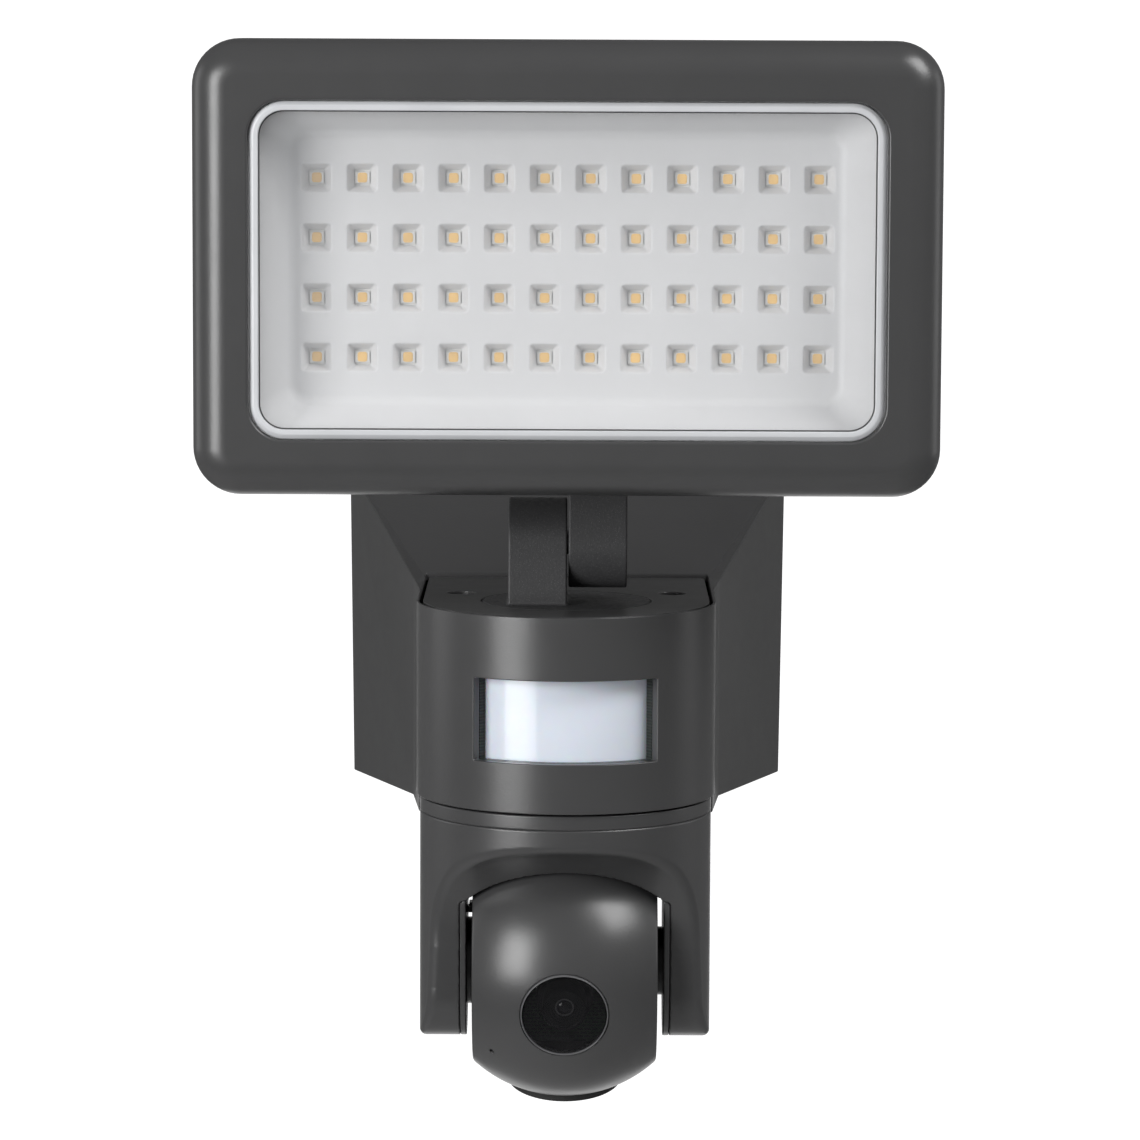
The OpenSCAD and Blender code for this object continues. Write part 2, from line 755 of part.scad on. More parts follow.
module yoke() {
    color([0.27, 0.27, 0.28]) difference() {
        intersection() {
            at_pan() translate([0, 0, -96]) cylinder(r = yoke_r, h = cap_bottom + 96);
            translate([0, -axis_out, 0]) along_x(-yoke_r - 1, yoke_r + 1) yoke_side();
        }
        // room for the ball and for the two arm covers
        intersection() {
            translate([0, -axis_out, tilt_z]) sphere(cavity_r);
            translate([0, -axis_out, tilt_z]) cube([2 * arm_inner, 90, 90], center = true);
        }
        translate([-arm_inner, -axis_out - 40, tilt_z - 30]) cube([2 * arm_inner, 80, 30]);
        along_x(-arm_inner - cover_t, arm_inner + cover_t) translate([-axis_out, 0])
            arm_cover_outline(gap);
        // hollow arms and a hollow crown for the wires
        for (sx = [-1, 1])
            translate([sx * (arm_inner + cover_t + 3) - 3.5, -axis_out - 9, arm_end_z - 6]) cube([7, 18, 30]);
        at_pan() translate([0, 0, -41]) cylinder(r = hub_bore_r, h = 6);
    }
}

// the arm covers follow the arms' outline and end in a round top
module arm_cover_outline(grow) {
    intersection() {
        yoke_side();
        union() {
            translate([0, tilt_z]) circle(cover_r + grow);
            translate([-25, -100]) square([50, 100 + tilt_z]);
        }
    }
}

module arm_covers() {
    color([0.25, 0.25, 0.26]) for (s = [-1, 1])
        difference() {
            mirror([s < 0 ? 1 : 0, 0, 0]) along_x(arm_inner, arm_inner + cover_t)
                translate([-axis_out, 0]) arm_cover_outline(0);
            bar_x(-40, 40, s < 0 ? left_shaft_r : right_shaft_r, -axis_out, tilt_z);
        }
}

module pan_gear() {
    color([0.9, 0.9, 0.88]) at_pan() translate([0, 0, pan_gear_z]) gear(pan_teeth, gear_h, hub_r, 90);
}

// pinion teeth straddle the gear's tooth where they meet
module pan_pinion() {
    color([0.85, 0.85, 0.3]) translate([0, -axis_out + gear_distance(pan_teeth, pinion_teeth), pan_gear_z]) {
        gear(pinion_teeth, gear_h + 0.6, 1, 90 + 180 / pinion_teeth);
        cylinder(r = 1, h = 5.2);
    }
}

// hollow pivot on the left: a flange between ball and arm, and a tube through both
module tilt_shaft_left() {
    color([0.06, 0.06, 0.06]) difference() {
        union() {
            bar_x(-arm_inner, -ball_half_w - 0.1, boss_left_r, -axis_out, tilt_z);
            bar_x(-arm_inner - cover_t - 0.4, -ball_half_w + 5, left_shaft_r, -axis_out, tilt_z);
        }
        bar_x(-40, 0, left_shaft_r - 1.8, -axis_out, tilt_z);
    }
    // peg above the flange that stops the tilt
    color([0.06, 0.06, 0.06]) translate([-arm_inner, -axis_out - 2, tilt_z + 12.4]) {
        cube([1.45, 4, 1.5]);
        translate([0.5, 0, 1.5]) cube([0.95, 4, 1.1]);
    }
}

// solid pivot on the right, carrying the fixed tilt gear inside the ball
module tilt_shaft_right() {
    color([0.06, 0.06, 0.06]) union() {
        bar_x(ball_half_w + 0.1, arm_inner, boss_right_r, -axis_out, tilt_z);
        bar_x(tilt_gear_x, arm_inner + cover_t + 0.4, right_shaft_r, -axis_out, tilt_z);
        translate([tilt_gear_x, -axis_out, tilt_z]) rotate([0, 90, 0]) rotate([0, 0, lens_down])
            gear(tilt_teeth, 2.4, 1.5, 0);
    }
}

// ---------- camera ball ----------

// the ball's solid form, radius r and flat sides at half width w
module ball_form(r, w) {
    intersection() {
        sphere(r);
        cube([2 * w, 2 * r + 2, 2 * r + 2], center = true);
    }
}

module ball_front() {
    color([0.27, 0.27, 0.28]) in_ball() difference() {
        intersection() {
            ball_form(ball_r, ball_half_w);
            translate([-50, -60, -50]) cube([100, 60 + split_back, 100]);
        }
        difference() {
            ball_form(ball_r - shell_t, ball_half_w - shell_t);
            for (p = ball_bosses)
                translate([p[0], split_back + 1, p[1]]) rotate([90, 0, 0]) cylinder(r = 2.6, h = 9);
            // floor behind the card cover
            translate([0, 0, -31.5]) cylinder(r = 13.4, h = 1.9);
        }
        for (p = ball_bosses)
            translate([p[0], split_back + 1, p[1]]) rotate([90, 0, 0]) cylinder(r = 1.2, h = 7);
        // flat seat and hole for the lens window
        translate([0, -30.4, 0]) rotate([90, 0, 0]) cylinder(r = lens_window_d / 2 + 0.45, h = 10);
        translate([0, -20, 0]) rotate([90, 0, 0]) cylinder(r = lens_window_d / 2 - 1.5, h = 15);
        bar_x(-30, 0, left_shaft_r + run_fit);
        bar_x(0, 30, right_shaft_r + run_fit);
        // seat and openings for the card slot and the reset button
        translate([0, 0, -60]) cylinder(r = card_cap_r - 2, h = 28.6);
        translate([button_x, button_y, -40]) cylinder(r = 1.5 + run_fit, h = 20);
        translate([-8, -5, -40]) cube([12, 1.6, 20]);
        // hole in front of the microphone
        rotate([mic_down, 0, 0]) translate([mic_x, 0, 0]) rotate([90, 0, 0]) cylinder(r = 0.5, h = 40);
    }
}

module ball_rear() {
    color([0.27, 0.27, 0.28]) in_ball() difference() {
        intersection() {
            ball_form(ball_r, ball_half_w);
            translate([-50, split_back, -50]) cube([100, 60, 100]);
        }
        difference() {
            ball_form(ball_r - shell_t, ball_half_w - shell_t);
            for (p = ball_bosses)
                translate([p[0], 40, p[1]]) rotate([90, 0, 0]) cylinder(r = 2.8, h = 24);
        }
        for (p = ball_bosses)
            translate([p[0], 40, p[1]]) rotate([90, 0, 0]) {
                cylinder(r = 1.3, h = 30);
                cylinder(r = 2.2, h = 18.6);
            }
        // speaker slots
        for (i = [-2 : 2])
            translate([speaker_x - 6, 20, i * 2.6 - 0.6]) cube([12, 20, 1.2]);
    }
}

module ball_screws() {
    color([0.6, 0.6, 0.62]) in_ball() for (p = ball_bosses)
        translate([p[0], 22.8, p[1]]) rotate([90, 0, 0]) {
            cylinder(r = 1.2, h = 12);
            cylinder(r = 2.1, h = 1.4);
        }
}

module lens_window() {
    color([0.03, 0.03, 0.035]) in_ball() translate([0, -30.4, 0]) rotate([90, 0, 0])
        cylinder(r = lens_window_d / 2, h = 2);
}

module window_ring() {
    color([0.55, 0.56, 0.58]) in_ball() translate([0, -30.4, 0]) rotate([90, 0, 0]) difference() {
        cylinder(r = lens_window_d / 2 + 0.4, h = 2.2);
        translate([0, 0, -1]) cylinder(r = lens_window_d / 2, h = 5);
    }
}

module lens_barrel() {
    color([0.05, 0.05, 0.05]) in_ball() translate([0, -13.6, 0]) rotate([90, 0, 0]) {
        cylinder(r = 7, h = 9);
        difference() {
            cylinder(r = 5.5, h = 16);
            translate([0, 0, 14]) cylinder(r1 = 2, r2 = 4.6, h = 2.2);
        }
    }
}

module image_board() {
    color([0.1, 0.25, 0.4]) in_ball() translate([-13, -13.6, -16]) cube([24, 1.6, 32]);
}

module speaker() {
    color([0.15, 0.15, 0.15]) in_ball() translate([speaker_x, 25, 0]) rotate([90, 0, 0]) {
        cylinder(r = 9, h = 3);
        cylinder(r = 5.5, h = 5);
    }
}

module microphone() {
    color([0.7, 0.7, 0.5]) in_ball() rotate([mic_down, 0, 0]) translate([mic_x, -20.6, 0])
        rotate([90, 0, 0]) cylinder(r = 2, h = 2.4);
}

// the motor lies across the ball with its pinion on the fixed gear
module tilt_motor() {
    color([0.7, 0.71, 0.73]) in_ball() {
        translate([0, gear_distance(tilt_teeth, pinion_teeth), 0]) {
            bar_x(1, 16.6, 9);
            bar_x(16.6, 17.2, 3);
        }
    }
}

module tilt_pinion() {
    color([0.85, 0.85, 0.3]) in_ball()
        translate([tilt_gear_x - 0.2, gear_distance(tilt_teeth, pinion_teeth), 0]) rotate([0, 90, 0]) {
            gear(pinion_teeth, 2.8, 0.8, 90 + 180 / pinion_teeth);
            cylinder(r = 0.8, h = 2.8);
        }
}

module card_socket() {
    color([0.7, 0.71, 0.73]) in_ball() difference() {
        translate([-9, -6, -29.4]) cube([14, 3.6, 14]);
        translate([-8, -5, -30]) cube([12, 1.6, 13]);
    }
}

// domed black cover over the card slot and the reset button
module card_cover() {
    color([0.07, 0.07, 0.07]) in_ball() difference() {
        intersection() {
            sphere(ball_r + card_cap_proud);
            union() {
                translate([0, 0, -60]) cylinder(r = card_cap_r - 2.2, h = 28);
                intersection() {
                    translate([0, 0, -60]) cylinder(r = card_cap_r, h = 40);
                    difference() {
                        sphere(ball_r + card_cap_proud);
                        sphere(ball_r + 0.02);
                    }
                }
            }
        }
        translate([button_x, button_y, -33]) cylinder(r = 2.4, h = 3);
    }
}

module reset_button() {
    color([0.85, 0.2, 0.15]) in_ball() translate([button_x, button_y, 0]) {
        translate([0, 0, -31.8]) cylinder(r = 1.5, h = 4);
        translate([0, 0, -29.5]) cylinder(r = 2.3, h = 0.8);
    }
}

wall_bracket();
wall_seal();
wall_box();
rear_plate();
rear_plate_screws();
bracket_screws();
cable_gland();
terminal_block();
power_board();
transformer();
capacitor();
main_board();
sensor_shell();
floor_plate();
pan_bush();
sensor_frame();
sensor_lens();
sensor_board();
motion_sensor();
pan_motor();
top_plate();
top_plate_screws();
swivel_seal();
lower_knuckle();
swivel_nut();
hinge_bolt();
hinge_washer();
upper_knuckle();
knuckle_screws();
head_housing();
head_seal();
head_bezel();
trim_ring();
cover_glass();
reflector();
led_board();
leds();
led_phosphors();
heat_spreader();
yoke_cap();
yoke();
arm_covers();
pan_gear();
tilt_shaft_left();
tilt_shaft_right();
pan_pinion();
ball_front();
ball_rear();
ball_screws();
lens_window();
window_ring();
lens_barrel();
image_board();
speaker();
microphone();
tilt_motor();
card_socket();
card_cover();
tilt_pinion();
reset_button();
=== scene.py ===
"""Looks of the floodlight security camera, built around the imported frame.

Shapes are worked out in millimetres in the row frame and scaled to metres when their mesh is made.
"""
import json
import math

import bmesh
import bpy
import numpy as np
from mathutils import Matrix, Vector


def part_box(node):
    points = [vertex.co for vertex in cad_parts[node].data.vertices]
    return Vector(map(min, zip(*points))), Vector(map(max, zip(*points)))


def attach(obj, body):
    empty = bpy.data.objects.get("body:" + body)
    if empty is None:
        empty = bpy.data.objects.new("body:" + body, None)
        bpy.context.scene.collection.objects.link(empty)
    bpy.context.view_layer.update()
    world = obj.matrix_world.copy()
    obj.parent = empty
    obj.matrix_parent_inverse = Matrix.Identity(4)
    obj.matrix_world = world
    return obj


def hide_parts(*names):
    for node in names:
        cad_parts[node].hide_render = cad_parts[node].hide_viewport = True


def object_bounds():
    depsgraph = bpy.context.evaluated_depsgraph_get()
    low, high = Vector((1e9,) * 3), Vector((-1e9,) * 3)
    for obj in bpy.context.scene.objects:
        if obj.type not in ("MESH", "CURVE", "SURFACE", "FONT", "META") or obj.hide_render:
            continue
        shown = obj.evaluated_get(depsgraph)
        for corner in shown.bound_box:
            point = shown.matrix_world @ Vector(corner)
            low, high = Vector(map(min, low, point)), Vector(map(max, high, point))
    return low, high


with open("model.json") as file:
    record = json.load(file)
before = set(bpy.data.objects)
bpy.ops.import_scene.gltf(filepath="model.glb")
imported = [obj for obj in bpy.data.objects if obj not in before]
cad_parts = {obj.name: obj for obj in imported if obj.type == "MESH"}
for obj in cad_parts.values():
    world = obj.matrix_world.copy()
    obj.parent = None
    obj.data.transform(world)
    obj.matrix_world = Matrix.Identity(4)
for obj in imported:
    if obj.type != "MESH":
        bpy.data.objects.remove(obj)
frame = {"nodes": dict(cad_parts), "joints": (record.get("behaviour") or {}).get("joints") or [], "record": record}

MM = 0.001
CAD_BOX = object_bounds()
JOINTS = {j["name"]: j for j in frame["joints"]}
SLOT_OF = {s["node"]: s["material_slot"] for s in frame["record"]["subparts"]}
BODY_OF = {n: b for b, ns in frame["record"]["behaviour"]["bodies"].items() for n in ns}


def box_mm(node):
    """Lowest and highest corner of a CAD node, in millimetres."""
    low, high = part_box(node)
    return np.array(low) / MM, np.array(high) / MM


def joint_mm(name):
    return np.array(JOINTS[name]["pos_m"]) / MM


# ---------- materials ----------

def new_finish(name):
    material = bpy.data.materials.new(name)
    material.use_nodes = True
    tree = material.node_tree
    return material, tree, tree.nodes["Principled BSDF"]


def tune(node, **settings):
    """Sets a node's inputs; an underscore stands for a space in an input's name."""
    for name, value in settings.items():
        node.inputs[name.replace("_", " ")].default_value = value
    return node


def object_place(tree):
    return tree.nodes.new("ShaderNodeTexCoord").outputs["Object"]


def mapped(tree, **settings):
    """Object space, turned or scaled."""
    node = tune(tree.nodes.new("ShaderNodeMapping"), **settings)
    tree.links.new(object_place(tree), node.inputs["Vector"])
    return node.outputs["Vector"]


def textured(tree, kind, place=None, **settings):
    """A texture node in object space, unless a place is given; scales are in cells per metre."""
    node = tune(tree.nodes.new("ShaderNodeTex" + kind), **settings)
    tree.links.new(object_place(tree) if place is None else place, node.inputs["Vector"])
    return node


def noise(tree, scale, detail=2.0, roughness=0.5):
    return textured(tree, "Noise", Scale=scale, Detail=detail, Roughness=roughness).outputs["Fac"]


def ramp(tree, source, low, high, start=0.3, end=0.7):
    """Turns a 0 to 1 value into a blend of two colours."""
    stops = tree.nodes.new("ShaderNodeValToRGB")
    for stop, position, colour in zip(stops.color_ramp.elements, (start, end), (low, high)):
        stop.position = position
        stop.color = (*colour, 1)
    tree.links.new(source, stops.inputs["Fac"])
    return stops.outputs["Color"]


def spread(tree, source, low, high, start=0.3, end=0.7):
    """Turns a value from start to end into a number from low to high."""
    node = tune(tree.nodes.new("ShaderNodeMapRange"), From_Min=start, From_Max=end, To_Min=low, To_Max=high)
    tree.links.new(source, node.inputs["Value"])
    return node.outputs["Result"]


def bump(tree, shader, height, strength, distance):
    node = tune(tree.nodes.new("ShaderNodeBump"), Strength=strength, Distance=distance)
    tree.links.new(height, node.inputs["Height"])
    tree.links.new(node.outputs["Normal"], shader.inputs["Normal"])


def coat_with(tree, shader, colour, roughness):
    tree.links.new(colour, shader.inputs["Base Color"])
    tree.links.new(roughness, shader.inputs["Roughness"])


def moulded(name, colour, roughness, grain=2600, depth=0.25, vary=0.10, coat=0.0, specular=0.5):
    """A finish with faintly cloudy colour, slightly uneven gloss and a fine grain."""
    material, tree, shader = new_finish(name)
    low = [c * (1 - vary) for c in colour]
    high = [min(1, c * (1 + vary)) for c in colour]
    coat_with(tree, shader, ramp(tree, noise(tree, 55, 3), low, high),
              spread(tree, noise(tree, 140, 3), roughness - 0.015, roughness + 0.02))
    bump(tree, shader, noise(tree, grain, 2), depth, 0.00008)
    tune(shader, Coat_Weight=coat, Coat_Roughness=0.15, Specular_IOR_Level=specular)
    return material


def speckled(name, colour, fleck, roughness):
    """Textured paint: dark satin with tiny pale flecks and a pebbled surface."""
    material, tree, shader = new_finish(name)
    flecks = textured(tree, "Voronoi", Scale=2300).outputs["Distance"]
    coat_with(tree, shader, ramp(tree, flecks, fleck, colour, 0.10, 0.26),
              spread(tree, noise(tree, 900, 3), roughness - 0.08, roughness + 0.1))
    bump(tree, shader, noise(tree, 1500, 3, 0.6), 0.55, 0.00012)
    return material


def brushed(name, colour, roughness):
    """Metal with fine lines along X."""
    material, tree, shader = new_finish(name)
    lines = textured(tree, "Noise", mapped(tree, Scale=(0.04, 1, 1)), Scale=1800, Detail=3).outputs["Fac"]
    coat_with(tree, shader, ramp(tree, lines, [c * 0.85 for c in colour], colour),
              spread(tree, lines, roughness - 0.08, roughness + 0.1))
    bump(tree, shader, lines, 0.15, 0.00004)
    tune(shader, Metallic=1.0)
    return material


def board_finish(name):
    """Green lacquered circuit board with copper tracks under the lacquer."""
    material, tree, shader = new_finish(name)
    tracks = textured(tree, "Brick", mapped(tree, Rotation=(math.pi / 2, 0, 0)), Scale=260, Mortar_Size=0.06,
                      Color1=(0.012, 0.09, 0.04, 1), Color2=(0.016, 0.12, 0.05, 1),
                      Mortar=(0.05, 0.22, 0.08, 1))
    coat_with(tree, shader, tracks.outputs["Color"], spread(tree, noise(tree, 400), 0.25, 0.4))
    return material


def clear_glass(name, colour, alpha, roughness, specular=0.5):
    material, tree, shader = new_finish(name)
    clouds = ramp(tree, noise(tree, 60), [c * 0.97 for c in colour], colour)
    tree.links.new(clouds, shader.inputs["Base Color"])
    tune(shader, Roughness=roughness, Alpha=alpha, Specular_IOR_Level=specular)
    return material


def milky(name):
    """Translucent white moulding of the sensor lens."""
    material = moulded(name, (0.77, 0.81, 0.90), 0.22, grain=900, depth=0.03, vary=0.02)
    tune(material.node_tree.nodes["Principled BSDF"], Subsurface_Weight=0.25, Subsurface_Scale=0.002,
         Coat_Weight=1.0, Coat_Roughness=0.02)
    return material


def ribbed(name, colour):
    """Dark moulding with fine upright ribs, as on the sides of the sensor window; the grooves between the ribs are
    darkened with painted shade.
    """
    material, tree, shader = new_finish(name)
    waves = textured(tree, "Wave", Scale=420, Distortion=0.4)
    waves.bands_direction = "Z"
    ribs = waves.outputs["Fac"]
    # colour falls to half where the bump is low: painted shade in the grooves between the ribs
    coat_with(tree, shader, ramp(tree, ribs, [c * 0.5 for c in colour], colour, 0.2, 0.8),
              spread(tree, noise(tree, 500), 0.3, 0.45))
    bump(tree, shader, ribs, 0.4, 0.0002)
    return material


DARK = (0.055, 0.055, 0.056)
# the frame's own materials have the same names, so Blender may end a name with a number
FINISHES = {material.name.split(".")[0]: material for material in (
    moulded("dark_plastic", DARK, 0.31, grain=1700, depth=0.2, vary=0.02, specular=0.6),
    moulded("dark_casting", DARK, 0.5, grain=1500, depth=0.4, vary=0.08),
    speckled("knuckle_paint", (0.055, 0.055, 0.057), (0.12, 0.12, 0.12), 0.5),
    moulded("black_plastic", (0.010, 0.010, 0.011), 0.3, vary=0.15),
    moulded("black_rubber", (0.018, 0.018, 0.018), 0.55, grain=1200, depth=0.5, vary=0.2),
    moulded("seal_rubber", (0.55, 0.55, 0.53), 0.6, vary=0.05),
    clear_glass("window_glass", (0.95, 0.97, 1.0), 0.10, 0.03),
    clear_glass("camera_glass", (0.008, 0.008, 0.009), 0.5, 0.05, 0.3),
    moulded("lens_silver", (0.35, 0.35, 0.36), 0.3, vary=0.03),
    moulded("rim_grey", (0.12, 0.12, 0.125), 0.35, vary=0.03),
    # dark lip round the window trim's opening: painted shade
    moulded("gasket", (0.05, 0.05, 0.05), 0.6, vary=0.05),
    moulded("lens_bead", (0.02, 0.016, 0.03), 0.06, grain=300, depth=0.0, coat=1.0, specular=0.9),
    milky("sensor_lens"),
    ribbed("sensor_frame", (0.06, 0.07, 0.065)),
    moulded("silver_trim", (0.62, 0.63, 0.65), 0.32, vary=0.04, specular=0.6),
    moulded("reflector_white", (0.655, 0.655, 0.66), 0.5, grain=700, depth=0.06, vary=0.015),
    moulded("led_white", (0.70, 0.69, 0.66), 0.4, vary=0.03),
    moulded("led_phosphor", (0.90, 0.54, 0.13), 0.45, grain=3000, depth=0.2, vary=0.12),
    board_finish("circuit_board"),
    moulded("white_nylon", (0.74, 0.74, 0.70), 0.4, vary=0.03),
    brushed("steel", (0.60, 0.61, 0.63), 0.33),
    brushed("bare_aluminium", (0.78, 0.79, 0.80), 0.38),
    moulded("copper_coil", (0.62, 0.40, 0.08), 0.35, grain=500, depth=0.2, vary=0.15),
    moulded("capacitor_sleeve", (0.025, 0.04, 0.12), 0.25, vary=0.1),
    moulded("red_plastic", (0.55, 0.04, 0.03), 0.35, vary=0.06),
)}


# ---------- making meshes ----------

def paint(obj, finish):
    obj.data.materials.clear()
    obj.data.materials.append(FINISHES[finish])
    return obj


def mesh_of(name, verts, faces):
    """A mesh in metres, from millimetres."""
    mesh = bpy.data.meshes.new(name)
    mesh.from_pydata((np.asarray(verts, float) * MM).tolist(), [], [list(f) for f in faces])
    return mesh


def face_out(mesh):
    """Turns all the faces of a mesh outwards."""
    tool = bmesh.new()
    tool.from_mesh(mesh)
    bmesh.ops.recalc_face_normals(tool, faces=tool.faces)
    tool.to_mesh(mesh)
    tool.free()


def linked(name, data):
    obj = bpy.data.objects.new(name, data)
    bpy.context.scene.collection.objects.link(obj)
    return obj


def piece(name, verts, faces, node, normals=None):
    """A mesh piece that stands for a CAD node: same body, same material slot."""
    mesh = mesh_of(name, verts, faces)
    mesh.validate()
    if normals is None:
        face_out(mesh)
    mesh.polygons.foreach_set("use_smooth", [True] * len(mesh.polygons))
    obj = linked(name, mesh)
    if normals is not None:
        mesh.normals_split_custom_set_from_vertices(np.asarray(normals, float).tolist())
    paint(obj, SLOT_OF[node])
    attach(obj, BODY_OF[node])
    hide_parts(node)
    return obj


def rounded_loop(w, h, r, steps=12):
    """Corners of a rounded rectangle as points in X and Z; every loop has as many."""
    r = max(r, 0.01)
    points = []
    for cx, cz, start in ((1, 1, 0), (-1, 1, 90), (-1, -1, 180), (1, -1, 270)):
        for i in range(steps + 1):
            a = math.radians(start + 90 * i / steps)
            points.append((cx * (w / 2 - r) + r * math.cos(a), cz * (h / 2 - r) + r * math.sin(a)))
    return points


def loft(rings, closed=False):
    """Joins rings of equal length: the last one to the first when closed, or else with a cap on both ends."""
    count = len(rings[0])
    verts = [p for ring in rings for p in ring]
    faces = []
    last = len(rings) if closed else len(rings) - 1
    for i in range(last):
        a, b = i * count, ((i + 1) % len(rings)) * count
        for j in range(count):
            k = (j + 1) % count
            faces.append((a + j, a + k, b + k, b + j))
    if not closed:
        faces.append(tuple(range(count - 1, -1, -1)))
        faces.append(tuple((len(rings) - 1) * count + j for j in range(count)))
    return verts, faces


def frame_loft(profile, centre_z, closed=True):
    """Sweeps a profile round a rounded rectangle.

    Each profile entry is (width, height, corner radius, y), with its own height of centre as a fifth value
    where that isn't centre_z.
    """
    rings = []
    for w, h, r, y, *own in profile:
        middle = own[0] if own else centre_z
        rings.append([(x, y, z + middle) for x, z in rounded_loop(w, h, r)])
    return loft(rings, closed)


def arc(cx, cy, r, start, end, steps):
    """Points on an arc, by angle in degrees."""
    angles = [math.radians(start + (end - start) * i / steps) for i in range(steps + 1)]
    return [(cx + r * math.cos(a), cy + r * math.sin(a)) for a in angles]


def quarter(r, steps):
    """Pairs that round an edge by r: how far it is still to go up, and how far it has come in."""
    turns = [math.radians(90 * i / steps) for i in range(steps + 1)]
    return [(r * (1 - math.sin(a)), r * (1 - math.cos(a))) for a in turns]


def circle(radius, x, y, steps):
    turns = [2 * math.pi * i / steps for i in range(steps)]
    return [(x + radius * math.cos(a), y + radius * math.sin(a)) for a in turns]


def soften(obj, width, segments=3):
    """Rounds the sharp edges of a piece, keeping its flat faces flat."""
    edge = obj.modifiers.new("soft edges", "BEVEL")
    edge.width = width * MM
    edge.segments = segments
    edge.limit_method = "ANGLE"
    edge.angle_limit = math.radians(32)
    edge.harden_normals = True
    edge.miter_outer = "MITER_ARC"
    return obj


def settle(obj):
    """Applies a piece's modifiers."""
    bpy.context.view_layer.update()
    graph = bpy.context.evaluated_depsgraph_get()
    mesh = bpy.data.meshes.new_from_object(obj.evaluated_get(graph), depsgraph=graph)
    old = obj.data
    obj.modifiers.clear()
    obj.data = mesh
    bpy.data.meshes.remove(old)
    return obj


def revolve(profile, steps, axis="z"):
    """Turns a closed profile of (radius, height) about an axis through the origin."""
    rings = []
    for i in range(steps):
        a = 2 * math.pi * i / steps
        c, s = math.cos(a), math.sin(a)
        if axis == "z":
            rings.append([(r * c, r * s, h) for r, h in profile])
        elif axis == "x":
            rings.append([(h, r * c, r * s) for r, h in profile])
        else:
            rings.append([(r * c, -h, r * s) for r, h in profile])
    verts = [p for ring in rings for p in ring]
    faces = []
    count = len(profile)
    for i in range(steps):
        a, b = i * count, ((i + 1) % steps) * count
        for j in range(count):
            k = (j + 1) % count
            faces.append((a + j, b + j, b + k, a + k))
    return verts, faces


def from_tool(tool):
    tool.verts.index_update()
    out = [tuple(v.co) for v in tool.verts], [tuple(v.index for v in f.verts) for f in tool.faces]
    tool.free()
    return out


def weld(verts, faces):
    """Merges vertices that coincide, such as those on a revolved piece's axis."""
    distance = 1e-4
    tool = bmesh.new()
    made = [tool.verts.new(v) for v in verts]
    for f in faces:
        tool.faces.new([made[i] for i in f])
    bmesh.ops.remove_doubles(tool, verts=tool.verts, dist=distance)
    bmesh.ops.dissolve_degenerate(tool, edges=tool.edges, dist=distance)
    return from_tool(tool)


def moved(verts, shift, turn=None):
    points = np.asarray(verts, float)
    if turn is not None:
        points = points @ np.array(turn).T
    return points + np.asarray(shift, float)


def join(*meshes):
    verts, faces = [], []
    for v, f in meshes:
        start = len(verts)
        verts += [tuple(p) for p in v]
        faces += [tuple(i + start for i in face) for face in f]
    return verts, faces


def soft_box(low, high, r, steps):
    """A closed block with round upright edges (seen along Y) and rounded ends."""
    w, h = high[0] - low[0], high[2] - low[2]
    cx, cz = (high[0] + low[0]) / 2, (high[2] + low[2]) / 2
    edge = quarter(r, steps)
    levels = [(inset, high[1] - y) for inset, y in edge] + [(inset, low[1] + y) for inset, y in edge[::-1]]
    rings = []
    for inset, y in levels:
        rings.append([(x + cx, y, z + cz) for x, z in rounded_loop(w - 2 * inset, h - 2 * inset, r, 3)])
    return loft(rings)


# ---------- rounded solids from distance fields ----------

def both(a, b, r):
    """Distance field of the part two solids share, its edge rounded by radius r."""
    return np.minimum(np.maximum(a, b), -r) + np.hypot(np.maximum(a + r, 0), np.maximum(b + r, 0))


def either(a, b, r):
    """Distance field of two solids together, the inner corner filled by radius r."""
    return -both(-a, -b, r)


def without(a, b, r):
    return both(a, -b, r)


def gradient(field, points):
    step = 0.01
    out = np.empty_like(points)
    for i in range(3):
        d = np.zeros(3)
        d[i] = step
        ahead, behind = points + d, points - d
        out[:, i] = (field(*ahead.T) - field(*behind.T)) / (2 * step)
    return out


